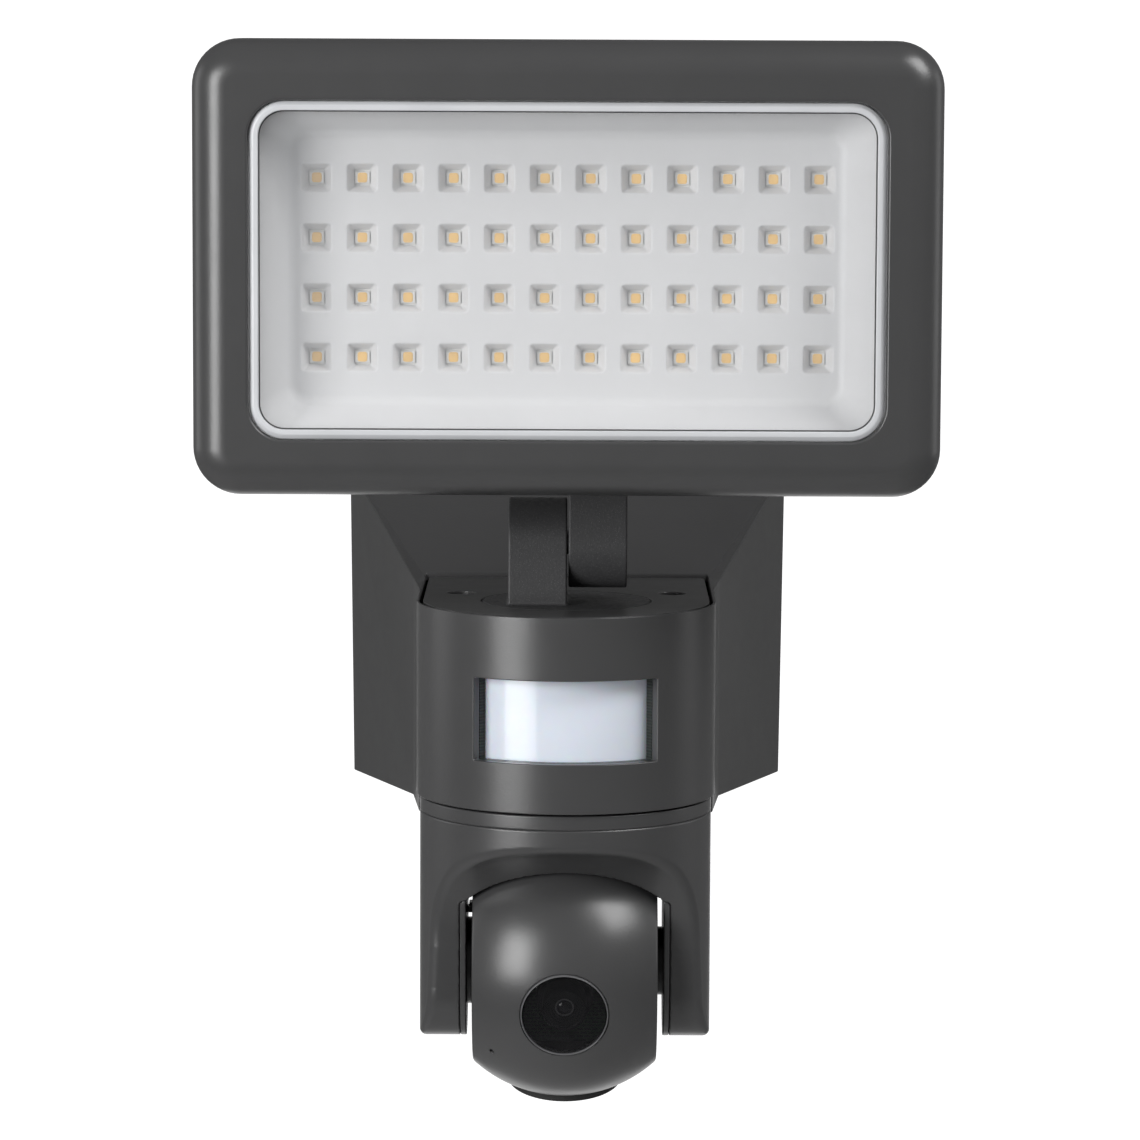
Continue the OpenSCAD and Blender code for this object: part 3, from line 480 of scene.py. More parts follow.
def skin(field, low, high, cell):
    """The surface where a distance field is zero: one vertex per crossed cell, moved onto the surface."""
    low = np.asarray(low, float)
    counts = np.ceil((np.asarray(high, float) - low) / cell).astype(int) + 1
    grids = np.meshgrid(*[low[i] + cell * np.arange(counts[i]) for i in range(3)], indexing="ij")
    value = field(*grids)
    inside = value < 0
    corner = [(i, j, k) for i in (0, 1) for j in (0, 1) for k in (0, 1)]
    part = [slice(i, counts[a] - 1 + i) for a in range(3) for i in (0, 1)]
    picks = [(part[i], part[2 + j], part[4 + k]) for i, j, k in corner]
    total = sum(inside[p].astype(np.int8) for p in picks)
    cells = np.argwhere((total > 0) & (total < 8))
    values = np.stack([value[cells[:, 0] + c[0], cells[:, 1] + c[1], cells[:, 2] + c[2]] for c in corner], 1)
    places = np.array(corner, float)
    summed, hits = np.zeros((len(cells), 3)), np.zeros(len(cells))
    for a in range(8):
        for b in range(a + 1, 8):
            if np.abs(places[a] - places[b]).sum() != 1:
                continue
            crossed = (values[:, a] < 0) != (values[:, b] < 0)
            share = np.where(crossed, values[:, a] / np.where(crossed, values[:, a] - values[:, b], 1), 0)
            spot = places[a] + share[:, None] * (places[b] - places[a])
            summed += spot * crossed[:, None]
            hits += crossed
    verts = low + cell * (cells + summed / hits[:, None])
    for _ in range(4):
        g = gradient(field, verts)
        size = np.maximum((g ** 2).sum(1), 0.25)
        move = (field(*verts.T) / size)[:, None] * g
        verts = verts - np.clip(move, -cell / 2, cell / 2)
    number = -np.ones(counts - 1, int)
    number[tuple(cells.T)] = np.arange(len(cells))
    faces = []
    for axis in range(3):
        u, v = (axis + 1) % 3, (axis + 2) % 3
        first = [slice(None)] * 3
        second = [slice(None)] * 3
        first[axis], second[axis] = slice(0, -1), slice(1, None)
        cross = inside[tuple(first)] != inside[tuple(second)]
        spots = np.argwhere(cross)
        spots = spots[(spots[:, u] > 0) & (spots[:, v] > 0)
                      & (spots[:, u] < counts[u] - 1) & (spots[:, v] < counts[v] - 1)]
        out_way = inside[tuple(first)][tuple(spots.T)]
        shifts = []
        for du, dv in ((-1, -1), (0, -1), (0, 0), (-1, 0)):
            s = spots.copy()
            s[:, u] += du
            s[:, v] += dv
            shifts.append(number[tuple(s.T)])
        quads = np.stack(shifts, 1)
        quads[~out_way] = quads[~out_way][:, ::-1]
        faces.append(quads)
    faces = np.concatenate(faces)
    normals = gradient(field, verts)
    normals /= np.maximum(np.linalg.norm(normals, axis=1), 1e-9)[:, None]
    return verts, faces, normals


def carved(name, field, low, high, cell, node):
    verts, faces, normals = skin(field, low, high, cell)
    return piece(name, verts, faces.tolist(), node, normals)


# ---------- shared measures, read from the frame ----------

HEAD_LOW, HEAD_HIGH = box_mm("head_bezel")
HEAD_W, HEAD_H = HEAD_HIGH[0] - HEAD_LOW[0], HEAD_HIGH[2] - HEAD_LOW[2]
HEAD_Z = (HEAD_HIGH[2] + HEAD_LOW[2]) / 2
HEAD_FRONT, SEAM = HEAD_LOW[1], HEAD_HIGH[1]
HEAD_R, HEAD_FILLET = 11.5, 8.5
RING_R, RING_WIDTH = 8.4, 2.2
RING_LOW, RING_HIGH = box_mm("trim_ring")
RING_W, RING_H = RING_HIGH[0] - RING_LOW[0], RING_HIGH[2] - RING_LOW[2]
WINDOW_Z = (RING_HIGH[2] + RING_LOW[2]) / 2
GLASS_LOW, GLASS_HIGH = box_mm("cover_glass")
SHELL_LOW, SHELL_HIGH = box_mm("sensor_shell")
BODY_R = SHELL_HIGH[0]
PLATE_TOP = SHELL_HIGH[2]
AXIS = joint_mm("camera_pan")[1]
TILT = joint_mm("camera_tilt")
HINGE = joint_mm("head_tilt")
LENS_DOWN = math.radians(14)
BALL_TURN = np.array(Matrix.Rotation(LENS_DOWN, 3, "X"))


def even(obj, angle=35):
    """Gives a smooth piece clean flat areas: sharp edges stay sharp and large faces set the shading."""
    obj.data.set_sharp_from_angle(angle=math.radians(angle))
    shade = obj.modifiers.new("even shading", "WEIGHTED_NORMAL")
    shade.mode = "FACE_AREA"
    shade.weight = 100
    shade.keep_sharp = True
    return obj


def rim(w, h, r, y, fillet, steps):
    """Loop sizes that round an outer front edge, from the side to the front face."""
    return [(w - 2 * inset, h - 2 * inset, r - inset, y + rise) for rise, inset in quarter(fillet, steps)]


# ---------- lamp head ----------

def head_bezel():
    gap, seam_edge, opening_edge = 0.3, 0.4, 0.6
    bw, bh, br = RING_W + 2 * gap, RING_H + 2 * gap, RING_R + gap
    loops = [(HEAD_W - 2 * seam_edge, HEAD_H - 2 * seam_edge, HEAD_R - seam_edge, SEAM),
             (HEAD_W, HEAD_H, HEAD_R, SEAM - seam_edge)]
    loops += rim(HEAD_W, HEAD_H, HEAD_R, HEAD_FRONT, HEAD_FILLET, 18)
    # soft edge of the window opening
    for grow, deep in quarter(opening_edge, 4):
        loops.append((bw + 2 * grow, bh + 2 * grow, br + grow, HEAD_FRONT + deep, WINDOW_Z))
    inner_w, inner_h, inner_r = HEAD_W - 8, HEAD_H - 8, HEAD_R - 4
    loops += [(bw, bh, br, GLASS_LOW[1], WINDOW_Z), (inner_w, inner_h, inner_r, GLASS_LOW[1]),
              (inner_w, inner_h, inner_r, SEAM)]
    verts, faces = frame_loft(loops, HEAD_Z)
    even(piece("bezel", verts, faces, "head_bezel"))


def head_housing():
    fin_top = box_mm("head_housing")[1][1]
    fin_height, fin_pitch, fin_half, fin_reach, fillet = 5, 9.6, 0.9, 44, 4
    back = fin_top - fin_height
    inner_w, inner_h, inner_r = HEAD_W - 7, HEAD_H - 7, HEAD_R - 3.5
    shelf, floor = SEAM + 2, back - 2.5
    # plateau in the middle that carries the heat spreader, then the hollow round it and the outer wall
    loops = [(112, 62, 4, shelf), (112, 62, 4, floor), (inner_w, inner_h, inner_r, floor),
             (inner_w, inner_h, inner_r, SEAM), (HEAD_W - 0.8, HEAD_H - 0.8, HEAD_R - 0.4, SEAM),
             (HEAD_W, HEAD_H, HEAD_R, SEAM + 0.4)]
    for rise, inset in quarter(fillet, 10):
        loops.append((HEAD_W - 2 * inset, HEAD_H - 2 * inset, HEAD_R - inset, back - rise))
    meshes = [frame_loft(loops, HEAD_Z, closed=False)]
    foot_low, foot_high = box_mm("upper_knuckle")
    foot = (foot_low[0] + foot_high[0]) / 2
    for i in range(-8, 9):
        x = i * fin_pitch
        if abs(x - foot) > 22:
            meshes.append(soft_box((x - fin_half, back - 0.5, HEAD_Z - fin_reach),
                                   (x + fin_half, fin_top, HEAD_Z + fin_reach), 0.6, 4))
    verts, faces = join(*meshes)
    even(piece("housing", verts, faces, "head_housing"))


def trim_ring():
    """Silver ring with a slope outside and a flat inside, and a dark lip on the glass round its inner edge:
    painted shade that stands for the ring's shaded inner wall.
    """
    y0, y1 = RING_HIGH[1], RING_LOW[1]
    slope, drop, soft = 1.0, 0.55, 0.25
    loops = [(RING_W, RING_H, RING_R, y0), (RING_W, RING_H, RING_R, y1 + drop + 0.2)]
    # the slope's rounded section: share of its width, and how far it has come forward
    for share, fall in ((0.03, 0.08), (0.10, 0.0), (0.25, -0.09), (0.5, -0.24), (0.75, -0.38), (0.95, -0.49),
                        (1.1, -0.545), (1.3, -0.55)):
        inset = slope * share
        loops.append((RING_W - 2 * inset, RING_H - 2 * inset, RING_R - inset, y1 + drop + fall))
    iw, ih, ir = RING_W - 2 * RING_WIDTH, RING_H - 2 * RING_WIDTH, RING_R - RING_WIDTH
    for grow, deep in quarter(soft, 4):
        loops.append((iw + 2 * grow, ih + 2 * grow, ir + grow, y1 + deep))
    loops.append((iw, ih, ir, y0))
    verts, faces = frame_loft(loops, WINDOW_Z)
    even(piece("window_trim", verts, faces, "trim_ring"))
    # dark lip on the glass round the ring's opening: painted shade, a dark strip put where the ring's inner wall
    # lies in shade
    lip, thick = 0.3, 0.5
    loops = [(iw, ih, ir, y0), (iw, ih, ir, y0 - thick), (iw - lip, ih - lip, ir - lip / 2, y0 - thick),
             (iw - 2 * lip, ih - 2 * lip, ir - lip, y0 - 0.35), (iw - 2 * lip, ih - 2 * lip, ir - lip, y0)]
    verts, faces = frame_loft(loops, WINDOW_Z)
    paint(even(piece("window_painted_shade_lip", verts, faces, "trim_ring")), "gasket")


def cover_glass():
    w, h = GLASS_HIGH[0] - GLASS_LOW[0], GLASS_HIGH[2] - GLASS_LOW[2]
    r, edge = 10, 0.3
    small = (w - 2 * edge, h - 2 * edge, r - edge)
    loops = [(*small, GLASS_LOW[1]), (w, h, r, GLASS_LOW[1] + edge), (w, h, r, GLASS_HIGH[1] - edge),
             (*small, GLASS_HIGH[1])]
    verts, faces = frame_loft(loops, WINDOW_Z, closed=False)
    even(piece("glass", verts, faces, "cover_glass"))


PHOSPHOR = 2.4


def led_spots():
    low, high = box_mm("led_phosphors")
    xs = np.linspace(low[0] + PHOSPHOR / 2, high[0] - PHOSPHOR / 2, 12)
    zs = np.linspace(low[2] + PHOSPHOR / 2, high[2] - PHOSPHOR / 2, 4)
    return [(x, z) for x in xs for z in zs]


def fill_flat(tool, loops):
    """Fills a flat area between an outer loop and holes."""
    edges = []
    for loop in loops:
        for i, v in enumerate(loop):
            pair = (v, loop[(i + 1) % len(loop)])
            edges.append(tool.edges.get(pair) or tool.edges.new(pair))
    bmesh.ops.triangle_fill(tool, edges=edges, use_beauty=True)


def stitch(tool, a, b):
    for i in range(len(a)):
        k = (i + 1) % len(a)
        tool.faces.new((a[i], a[k], b[k], b[i]))


def reflector():
    low, high = box_mm("reflector")
    flange_front, body_back = low[1], high[1]
    mouth_w, mouth_h = RING_W - 2 * RING_WIDTH, RING_H - 2 * RING_WIDTH
    flange_w, flange_h = high[0] - low[0], high[2] - low[2]
    floor_w, floor_h, floor_y = 133.0, 64.8, body_back - 3.4
    tool = bmesh.new()

    def loop(w, h, r, y, x=0.0, z=WINDOW_Z, steps=10):
        return [tool.verts.new((px + x, y, pz + z)) for px, pz in rounded_loop(w, h, r, steps)]

    deep = floor_y - flange_front
    slope = math.atan2((mouth_w - floor_w) / 2, deep)
    rings = [loop(flange_w, flange_h, 10, flange_front + 1.4),
             loop(flange_w, flange_h, 10, flange_front + 0.3),
             loop(flange_w - 0.6, flange_h - 0.6, 9.7, flange_front)]
    # mouth of the tray, rolled with a radius of 1
    for i in range(6):
        a = (math.pi / 2 - slope) * i / 5
        grow, y = 1 - math.sin(a), flange_front + 1 - math.cos(a)
        rings.append(loop(mouth_w + 2 * grow, mouth_h + 2 * grow, 7 + grow, y))
    # sloping wall that turns into the floor through a wide fillet
    turn = 3.2
    run = turn * math.tan((math.pi / 2 - slope) / 2)
    for i in range(9):
        a = (math.pi / 2 - slope) * i / 8
        out = -run + turn * math.sin(math.pi / 2 - slope - a)
        up = turn * (1 - math.cos(math.pi / 2 - slope - a))
        rings.append(loop(floor_w + 2 * out, floor_h + 2 * out, max(4.2 + out, 0.6), floor_y - up))
    for a, b in zip(rings, rings[1:]):
        stitch(tool, a, b)
    mouths, bases = [], []
    wall_turn = math.radians(55)
    for x, z in led_spots():
        pocket = []
        for i in range(4):
            a = wall_turn * i / 3
            grow, y = 0.6 * (1 - math.sin(a) / math.sin(wall_turn)), floor_y + 0.45 * (1 - math.cos(a))
            pocket.append(loop(7.0 + 2 * grow, 6.6 + 2 * grow, 0.8 + grow, y, x, z, 3))
        pocket.append(loop(4.1, 4.1, 0.5, body_back - 0.5, x, z, 3))
        pocket.append(loop(3.9, 3.9, 0.45, body_back, x, z, 3))
        for a, b in zip(pocket, pocket[1:]):
            stitch(tool, a, b)
        mouths.append(pocket[0])
        bases.append(pocket[-1])
    fill_flat(tool, [rings[-1]] + mouths)
    outer = [loop(mouth_w + 2, mouth_h + 2, 8, y) for y in (flange_front + 1.4, body_back)]
    stitch(tool, rings[0], outer[0])
    stitch(tool, outer[0], outer[1])
    fill_flat(tool, [outer[1]] + bases)
    verts, faces = from_tool(tool)
    even(piece("tray", verts, faces, "reflector"), 60)


def leds():
    low, high = box_mm("leds")
    dome_front = box_mm("led_phosphors")[0][1]
    half_w, half_h, dome_r = 1.75, 1.4, 0.6
    packages, pads = [], []
    for x, z in led_spots():
        packages.append(soft_box((x - half_w, low[1], z - half_h), (x + half_w, high[1], z + half_h),
                                 0.18, 2))
        levels = [(0.0, low[1] + 0.1)]
        for i in range(5):
            a = math.radians(90 * i / 4)
            levels.append((dome_r * (1 - math.cos(a)), low[1] - (low[1] - dome_front) * math.sin(a)))
        rings = []
        for inset, y in levels:
            side = PHOSPHOR - 2 * inset
            rings.append([(px + x, y, pz + z) for px, pz in rounded_loop(side, side, dome_r, 3)])
        pads.append(loft(rings))
    even(piece("led_packages", *join(*packages), "leds"))
    even(piece("led_domes", *join(*pads), "led_phosphors"), 60)


# ---------- sensor body ----------

SENSOR_HALF = 37.0
SHELL_WALL, RIM_WALL, RIM_DEPTH = 2.4, 0.7, 3.4
SIDE_STEPS, WINDOW_STEPS = 18, 28


def about_pan(r, a):
    """Point in X and Y at a distance from the pan axis, at an angle in radians from straight ahead."""
    return r * math.sin(a), AXIS - r * math.cos(a)


def arc_path(radius, back):
    """Points in X and Y on a D outline: a half circle about the pan axis, with straight sides to the back.

    Its points are closest together across the sensor's window.
    """
    angles = np.concatenate([np.linspace(-90, -SENSOR_HALF, SIDE_STEPS, endpoint=False),
                             np.linspace(-SENSOR_HALF, SENSOR_HALF, WINDOW_STEPS, endpoint=False),
                             np.linspace(SENSOR_HALF, 90, SIDE_STEPS + 1)])
    return [(-radius, back)] + [about_pan(radius, math.radians(a)) for a in angles] + [(radius, back)]


def sensor_shell():
    lens_low, lens_high = box_mm("sensor_lens")
    z0, z1 = SHELL_LOW[2], SHELL_HIGH[2]
    w0, w1 = lens_low[2] + 2.4, lens_high[2] - 2.4
    back, ledge = SHELL_HIGH[1], z1 - RIM_DEPTH
    outer, inside, lip = (arc_path(BODY_R - wall, back) for wall in (0, SHELL_WALL, RIM_WALL))
    levels = [(outer, z0), (outer, w0), (outer, w1), (outer, z1), (lip, z1), (lip, ledge),
              (inside, ledge), (inside, w1), (inside, w0), (inside, z0)]
    stations, rows = len(outer), len(levels)
    verts = [(path[s][0], path[s][1], z) for s in range(stations) for path, z in levels]
    # a section runs round the wall; the window leaves out its sides 1 and 7 and is closed on its four edges
    first = 1 + SIDE_STEPS
    last = first + WINDOW_STEPS
    faces = []
    for s in range(stations - 1):
        here, after = s * rows, (s + 1) * rows
        window = first <= s < last
        for k in range(rows):
            if window and k in (1, 7):
                continue
            n = (k + 1) % rows
            faces.append((here + k, after + k, after + n, here + n))
        if window:
            faces.append((here + 1, after + 1, after + 8, here + 8))
            faces.append((here + 2, here + 7, after + 7, after + 2))
    for s in (first, last):
        faces.append(tuple(s * rows + k for k in (1, 2, 7, 8)))
    faces.append(tuple(range(rows)))
    faces.append(tuple((stations - 1) * rows + k for k in range(rows)))
    soften(piece("front_shell", verts, faces, "sensor_shell"), 0.3)


def prism(points, z0, z1):
    return loft([[(x, y, z) for x, y in points] for z in (z0, z1)])


def sector(r0, r1, half, z0, z1):
    """A block cut from a ring about the pan axis, by half an angle to either side of straight ahead."""
    outline, steps = [], 60
    for r, way in ((r1, 1), (r0, -1)):
        outline += [about_pan(r, math.radians(half * (2 * i / steps - 1))) for i in range(steps + 1)[::way]]
    return prism(outline, z0, z1)


def sensor_window():
    low, high = box_mm("sensor_lens")
    radius = AXIS - low[1]
    verts, faces = sector(radius - 1, radius, 50, low[2], high[2])
    soften(piece("sensor_dome", verts, faces, "sensor_lens"), 0.2, 2)
    low, high = box_mm("sensor_frame")
    near, far = AXIS - low[1], radius + 0.1
    bar, end = 3, 52
    meshes = [sector(far, near, end, z, z + bar) for z in (low[2], high[2] - bar)]
    # jambs with upright ribs that step back towards the lens
    ribs, deep = 6, SENSOR_HALF + 1.3
    for side in (-1, 1):
        outline = []
        for i in range(ribs):
            for share, angle in ((0.0, SENSOR_HALF), (0.55, SENSOR_HALF), (0.55, deep), (1.0, deep)):
                outline.append((near - (near - far) * (i + share) / ribs, angle))
        outline += [(far, end), (near, end)]
        points = [about_pan(r, side * math.radians(a)) for r, a in outline]
        meshes.append(prism(points, low[2] + bar, high[2] - bar))
    even(piece("sensor_jambs", *join(*meshes), "sensor_frame"))


def slab(outlines, z0, z1, r):
    """A plate with holes and rounded edges; an outline is a function of how far it is drawn in."""
    tool = bmesh.new()
    levels = [(inset, z0 + rise) for inset, rise in quarter(r, 3)]
    levels += [(inset, z1 + z0 - z) for inset, z in levels[::-1]]
    ends = ([], [])
    for outline in outlines:
        rings = [[tool.verts.new((x, y, z)) for x, y in outline(inset)] for inset, z in levels]
        for a, b in zip(rings, rings[1:]):
            stitch(tool, a, b)
        ends[0].append(rings[0])
        ends[1].append(rings[-1])
    for loops in ends:
        fill_flat(tool, loops)
    return from_tool(tool)


def round_hole(radius, x=0.0, y=None, steps=72):
    """Outline of a hole for slab, on the pan axis unless a place is given."""
    y = AXIS if y is None else y

    def outline(inset):
        return circle(radius + inset, x, y, steps)
    return outline


def top_plate():
    low, high = box_mm("top_plate")
    disc_r = box_mm("lower_knuckle")[1][0]
    radius, back, corner = high[0], high[1], 2.4

    def rim_line(inset):
        r = radius - inset
        points = [about_pan(r, a) for a in np.linspace(-math.pi / 2, math.pi / 2, 49)]
        b = back - inset
        turns = np.linspace(0.3, math.pi / 2, 4)
        points.append((r, b - corner))
        points += [(r - corner + corner * math.cos(a), b - corner + corner * math.sin(a)) for a in turns]
        points += [(-x, y) for x, y in points[:48:-1]]
        return points

    screw_low, screw_high = box_mm("top_plate_screws")
    x, y = screw_high[0] - 3.1, (screw_low[1] + screw_high[1]) / 2
    top, under, hole_r = PLATE_TOP, PLATE_TOP - RIM_DEPTH, 3.6
    holes = [round_hole(disc_r + 0.1), round_hole(hole_r, x, y, 36), round_hole(hole_r, -x, y, 36)]
    plate = slab([rim_line] + holes, under, top, 0.25)
    # well under the swivel disc, and cups under the screw heads
    bore, seat = 9.05, top - 2.95
    web = revolve([(bore, low[2]), (disc_r + 3, low[2]), (disc_r + 3, under + 0.3),
                   (disc_r + 0.05, under + 0.3), (disc_r + 0.05, seat), (bore, seat)], 72)
    web = (moved(web[0], (0, AXIS, 0)), web[1])
    screw_bore, cup_r = 1.7, 4.2
    cup = revolve([(screw_bore, under - 1.0), (cup_r, under - 1.0), (cup_r, under + 0.3),
                   (hole_r, under + 0.3), (hole_r, top - 2.4), (screw_bore, top - 2.4)], 36)
    cups = [(moved(cup[0], (sx * x, y, 0)), cup[1]) for sx in (-1, 1)]
    even(piece("top_cover", *join(plate, web, *cups), "top_plate"))


def shell_loft(stations):
    """A box whose size changes towards the wall; a station is (y, half width, bottom, top, lean)."""
    return loft([[(-w + lean, y, z0), (w - lean, y, z0), (w, y, z1), (-w, y, z1)]
                 for y, w, z0, z1, lean in stations])


def helper(name, mesh):
    data = mesh_of(name, *mesh)
    face_out(data)
    return linked(name, data)


def cut(obj, tool):
    """Takes a helper solid away from a piece and removes the helper."""
    step = obj.modifiers.new("cut", "BOOLEAN")
    step.operation = "DIFFERENCE"
    step.solver = "EXACT"
    step.object = tool
    settle(obj)
    data = tool.data
    bpy.data.objects.remove(tool)
    bpy.data.meshes.remove(data)


def pan_cylinder(radius, z0, z1):
    return prism(circle(radius, 0, AXIS, 144), z0, z1)


def wall_box():
    """Hollow box that widens to the wall, with the sensor's mouth in front and the swivel's seat on top."""
    low, high = box_mm("wall_box")
    half, z0, z1, wall, lean = high[0], low[2], high[2], 2.2, 1.0
    seam, back, top = low[1], high[1], PLATE_TOP
    floor, ledge = SHELL_LOW[2], PLATE_TOP - RIM_DEPTH
    bend, straight, neck, narrow = -52, -10, 40, 37.6
    outer = shell_loft([(back, half, z0, z1, lean), (straight, half, z0, z1, lean),
                        (bend, neck, z0, top, 0.0), (seam, narrow, z0, top, 0.0)])
    inner = shell_loft([(0.5, half - wall, z0 + wall, z1 - wall, lean),
                        (straight, half - wall, z0 + wall, z1 - wall, lean),
                        (bend, neck - wall, z0 + wall, top - wall, 0.0),
                        (seam - 1, narrow - wall, z0 + wall, top - wall, 0.0)])
    room = helper("room", inner)
    cut(room, helper("room_floor", pan_cylinder(39.5, z0 - 5, floor + 2.4)))
    obj = piece("wall_case", *outer, "wall_box")
    cut(obj, room)
    mouth = shell_loft([(y, narrow - wall, floor, ledge, 0) for y in (bend, seam - 2)])
    cut(obj, helper("mouth", mouth))
    cut(obj, helper("skirt", pan_cylinder(37.3, z0 - 2, floor + 0.001)))
    cut(obj, helper("skirt_top", pan_cylinder(37.2, floor - 1, floor + 2)))
    seat_half, seat_front, seat_back = 36.7, seam - 5, -50.4
    seat = [(-seat_half, seat_front), (seat_half, seat_front), (seat_half, seat_back),
            (-seat_half, seat_back)]
    cut(obj, helper("seat", prism(seat, ledge, top + 2)))
    # the four bosses behind, with the screws' holes left to the screws
    head_r, boss_r = 2.6, 3.4
    screw_low, screw_high = box_mm("rear_plate_screws")
    parts = []
    for sx in (-1, 1):
        x = sx * (screw_high[0] - head_r)
        for z in (screw_low[2] + head_r, screw_high[2] - head_r):
            ring = circle(boss_r, x, z, 32)
            parts.append(loft([[(px, y, pz) for px, pz in ring] for y in (-9.6, -18)]))
            rib = x * 1.09
            parts.append(soft_box((rib - 4, -17, z - 1), (rib + 4, -11, z + 1), 0.3, 2))
    soften(obj, 0.45)
    settle(obj)
    even(piece("wall_case_bosses", *join(*parts), "wall_box"))


# ---------- knuckle ----------

HINGE_R, HINGE_BORE = 11.25, 3.05


def inset_polygon(points, t):
    """Moves each side of a counter-clockwise polygon inwards by t."""
    points = np.asarray(points, float)
    ahead = np.roll(points, -1, 0) - points
    ahead /= np.linalg.norm(ahead, axis=1)[:, None]
    inward = np.stack([-ahead[:, 1], ahead[:, 0]], 1)
    before = np.roll(inward, 1, 0)
    middle = inward + before
    return points + middle * (t / np.maximum((middle * inward).sum(1), 0.2))[:, None]


def polygon_field(points, u, v):
    """Signed distance to a polygon in two coordinates, negative inside."""
    nearest = np.full(u.shape, 1e9)
    inside = np.zeros(u.shape, bool)
    for (x0, y0), (x1, y1) in zip(points, np.roll(points, -1, 0)):
        dx, dy = x1 - x0, y1 - y0
        t = np.clip(((u - x0) * dx + (v - y0) * dy) / (dx * dx + dy * dy), 0, 1)
        nearest = np.minimum(nearest, np.hypot(u - x0 - t * dx, v - y0 - t * dy))
        if y0 != y1:
            inside ^= ((y0 > v) != (y1 > v)) & (u < (x1 - x0) * (v - y0) / (y1 - y0) + x0)
    return np.where(inside, -nearest, nearest)


def plate_field(u, low, high):
    return np.abs(u - (low + high) / 2) - (high - low) / 2


def lower_knuckle():
    low, high = box_mm("lower_knuckle")
    left, right = -14.45, 0.15
    disc_r = high[0]
    under = PLATE_TOP - 2.9

    def field(x, y, z):
        d, h = y - HINGE[1], z - HINGE[2]
        reach = np.where(h > 0, np.hypot(d, h), np.abs(d)) - HINGE_R
        arm = both(reach, plate_field(x, left, right), 0.45)
        arm = np.maximum(arm, PLATE_TOP - 1.5 - z)
        around = np.hypot(x, d)
        disc = both(around - disc_r + 0.1, plate_field(z, under, PLATE_TOP), 0.35)
        neck = np.maximum(around - 9, plate_field(z, low[2], under + 1))
        body = np.minimum(either(disc, arm, 0.7), neck)
        hinge = np.hypot(d, h)
        body = without(body, np.maximum(hinge - 5.6, x - left - 4.4), 0.5)
        body = np.maximum(body, HINGE_BORE - hinge)
        return np.maximum(body, -np.maximum(around - 4.5, z - under - 1))

    carved("swivel_arm", field, low - 1, high + 1, 0.45, "lower_knuckle")


def upper_knuckle():
    low, high = box_mm("upper_knuckle")
    x0, x1 = 0.48, 15.05
    y, z = HINGE[1], HINGE[2]
    side = [(y - HINGE_R, z), (y + HINGE_R, z), (y + HINGE_R - 3, 55), (y - 5, 84), (low[1] - 0.1, 90),
            (low[1] - 0.1, 53), (y - HINGE_R, 49)]
    rounding = 1.5
    tight = inset_polygon(side, rounding)
    middle, foot_z, foot_half_w, foot_half_h, foot_corner = (x0 + x1) / 2, 74, 15, 18, 4

    def field(px, py, pz):
        outline = np.minimum(np.hypot(py - y, pz - z) - HINGE_R, polygon_field(tight, py, pz) - rounding)
        arm = both(outline, plate_field(px, x0, x1), 0.45)
        aside, above = np.abs(px - middle) - foot_half_w, np.abs(pz - foot_z) - foot_half_h
        foot = np.maximum(aside, above)
        foot = np.where(foot > 0, np.hypot(np.maximum(aside, 0), np.maximum(above, 0)), foot) - foot_corner
        foot = both(foot, plate_field(py, low[1], low[1] + 4), 0.7)
        body = either(arm, foot, 2.0)
        body = np.maximum(body, low[1] - py)
        hinge = np.hypot(py - y, pz - z)
        body = without(body, np.maximum(hinge - 6, 10.05 - px), 0.5)
        return np.maximum(body, HINGE_BORE - hinge)

    carved("head_arm", field, low - 1, high + 1, 0.5, "upper_knuckle")


# ---------- yoke ----------

YOKE_LOW, YOKE_HIGH = box_mm("yoke")
YOKE_R = YOKE_HIGH[0]
COVE_R, COVE_OUT, COVE_Z = 28.0, 43.6, TILT[2] + 6.2
END_R, END_Z = 14.3, TILT[2] - 4.6
ARM_INNER, COVER_T, COVER_R = 24.6, 1.6, 25.6


def yoke_side(d, z):
    """Side outline of the yoke as a field: full depth above, a cove, then narrow arms with round ends."""
    d = np.abs(d)
    cove = COVE_R - np.hypot(d - COVE_OUT, z - COVE_Z)
    lean = (COVE_OUT - COVE_R - END_R) / (COVE_Z - END_Z)
    straight = (d - END_R - lean * (z - END_Z)) / math.hypot(1, lean)
    end = np.hypot(d, z - END_Z) - END_R
    return np.where(z > COVE_Z, cove, np.where(z > END_Z, straight, end))


def cover_top(d, z, grow):
    """Height field that closes the covers' outline: a round top, open below the tilt axis."""
    return np.minimum(np.hypot(d, z - TILT[2]) - COVER_R - grow, z - TILT[2])


def yoke():
    top = YOKE_HIGH[2]

    def field(x, y, z):
        d = y - AXIS
        around = np.hypot(x, d)
        side = yoke_side(d, z)
        body = both(around - YOKE_R, side, 1.7)
        body = both(body, z - top, 0.35)
        across = np.abs(x)
        room = np.maximum(np.sqrt(around ** 2 + (z - TILT[2]) ** 2) - 35.5, across - ARM_INNER)
        slot = np.maximum(across - ARM_INNER, z - TILT[2])
        recess = both(across - ARM_INNER - COVER_T, cover_top(d, z, 0.2), 1.5)
        body = without(body, np.minimum(np.minimum(room, slot), recess), 0.3)
        return np.maximum(body, 7 - around)

    carved("yoke_shell", field, YOKE_LOW - 1, YOKE_HIGH + 1, 0.5, "yoke")


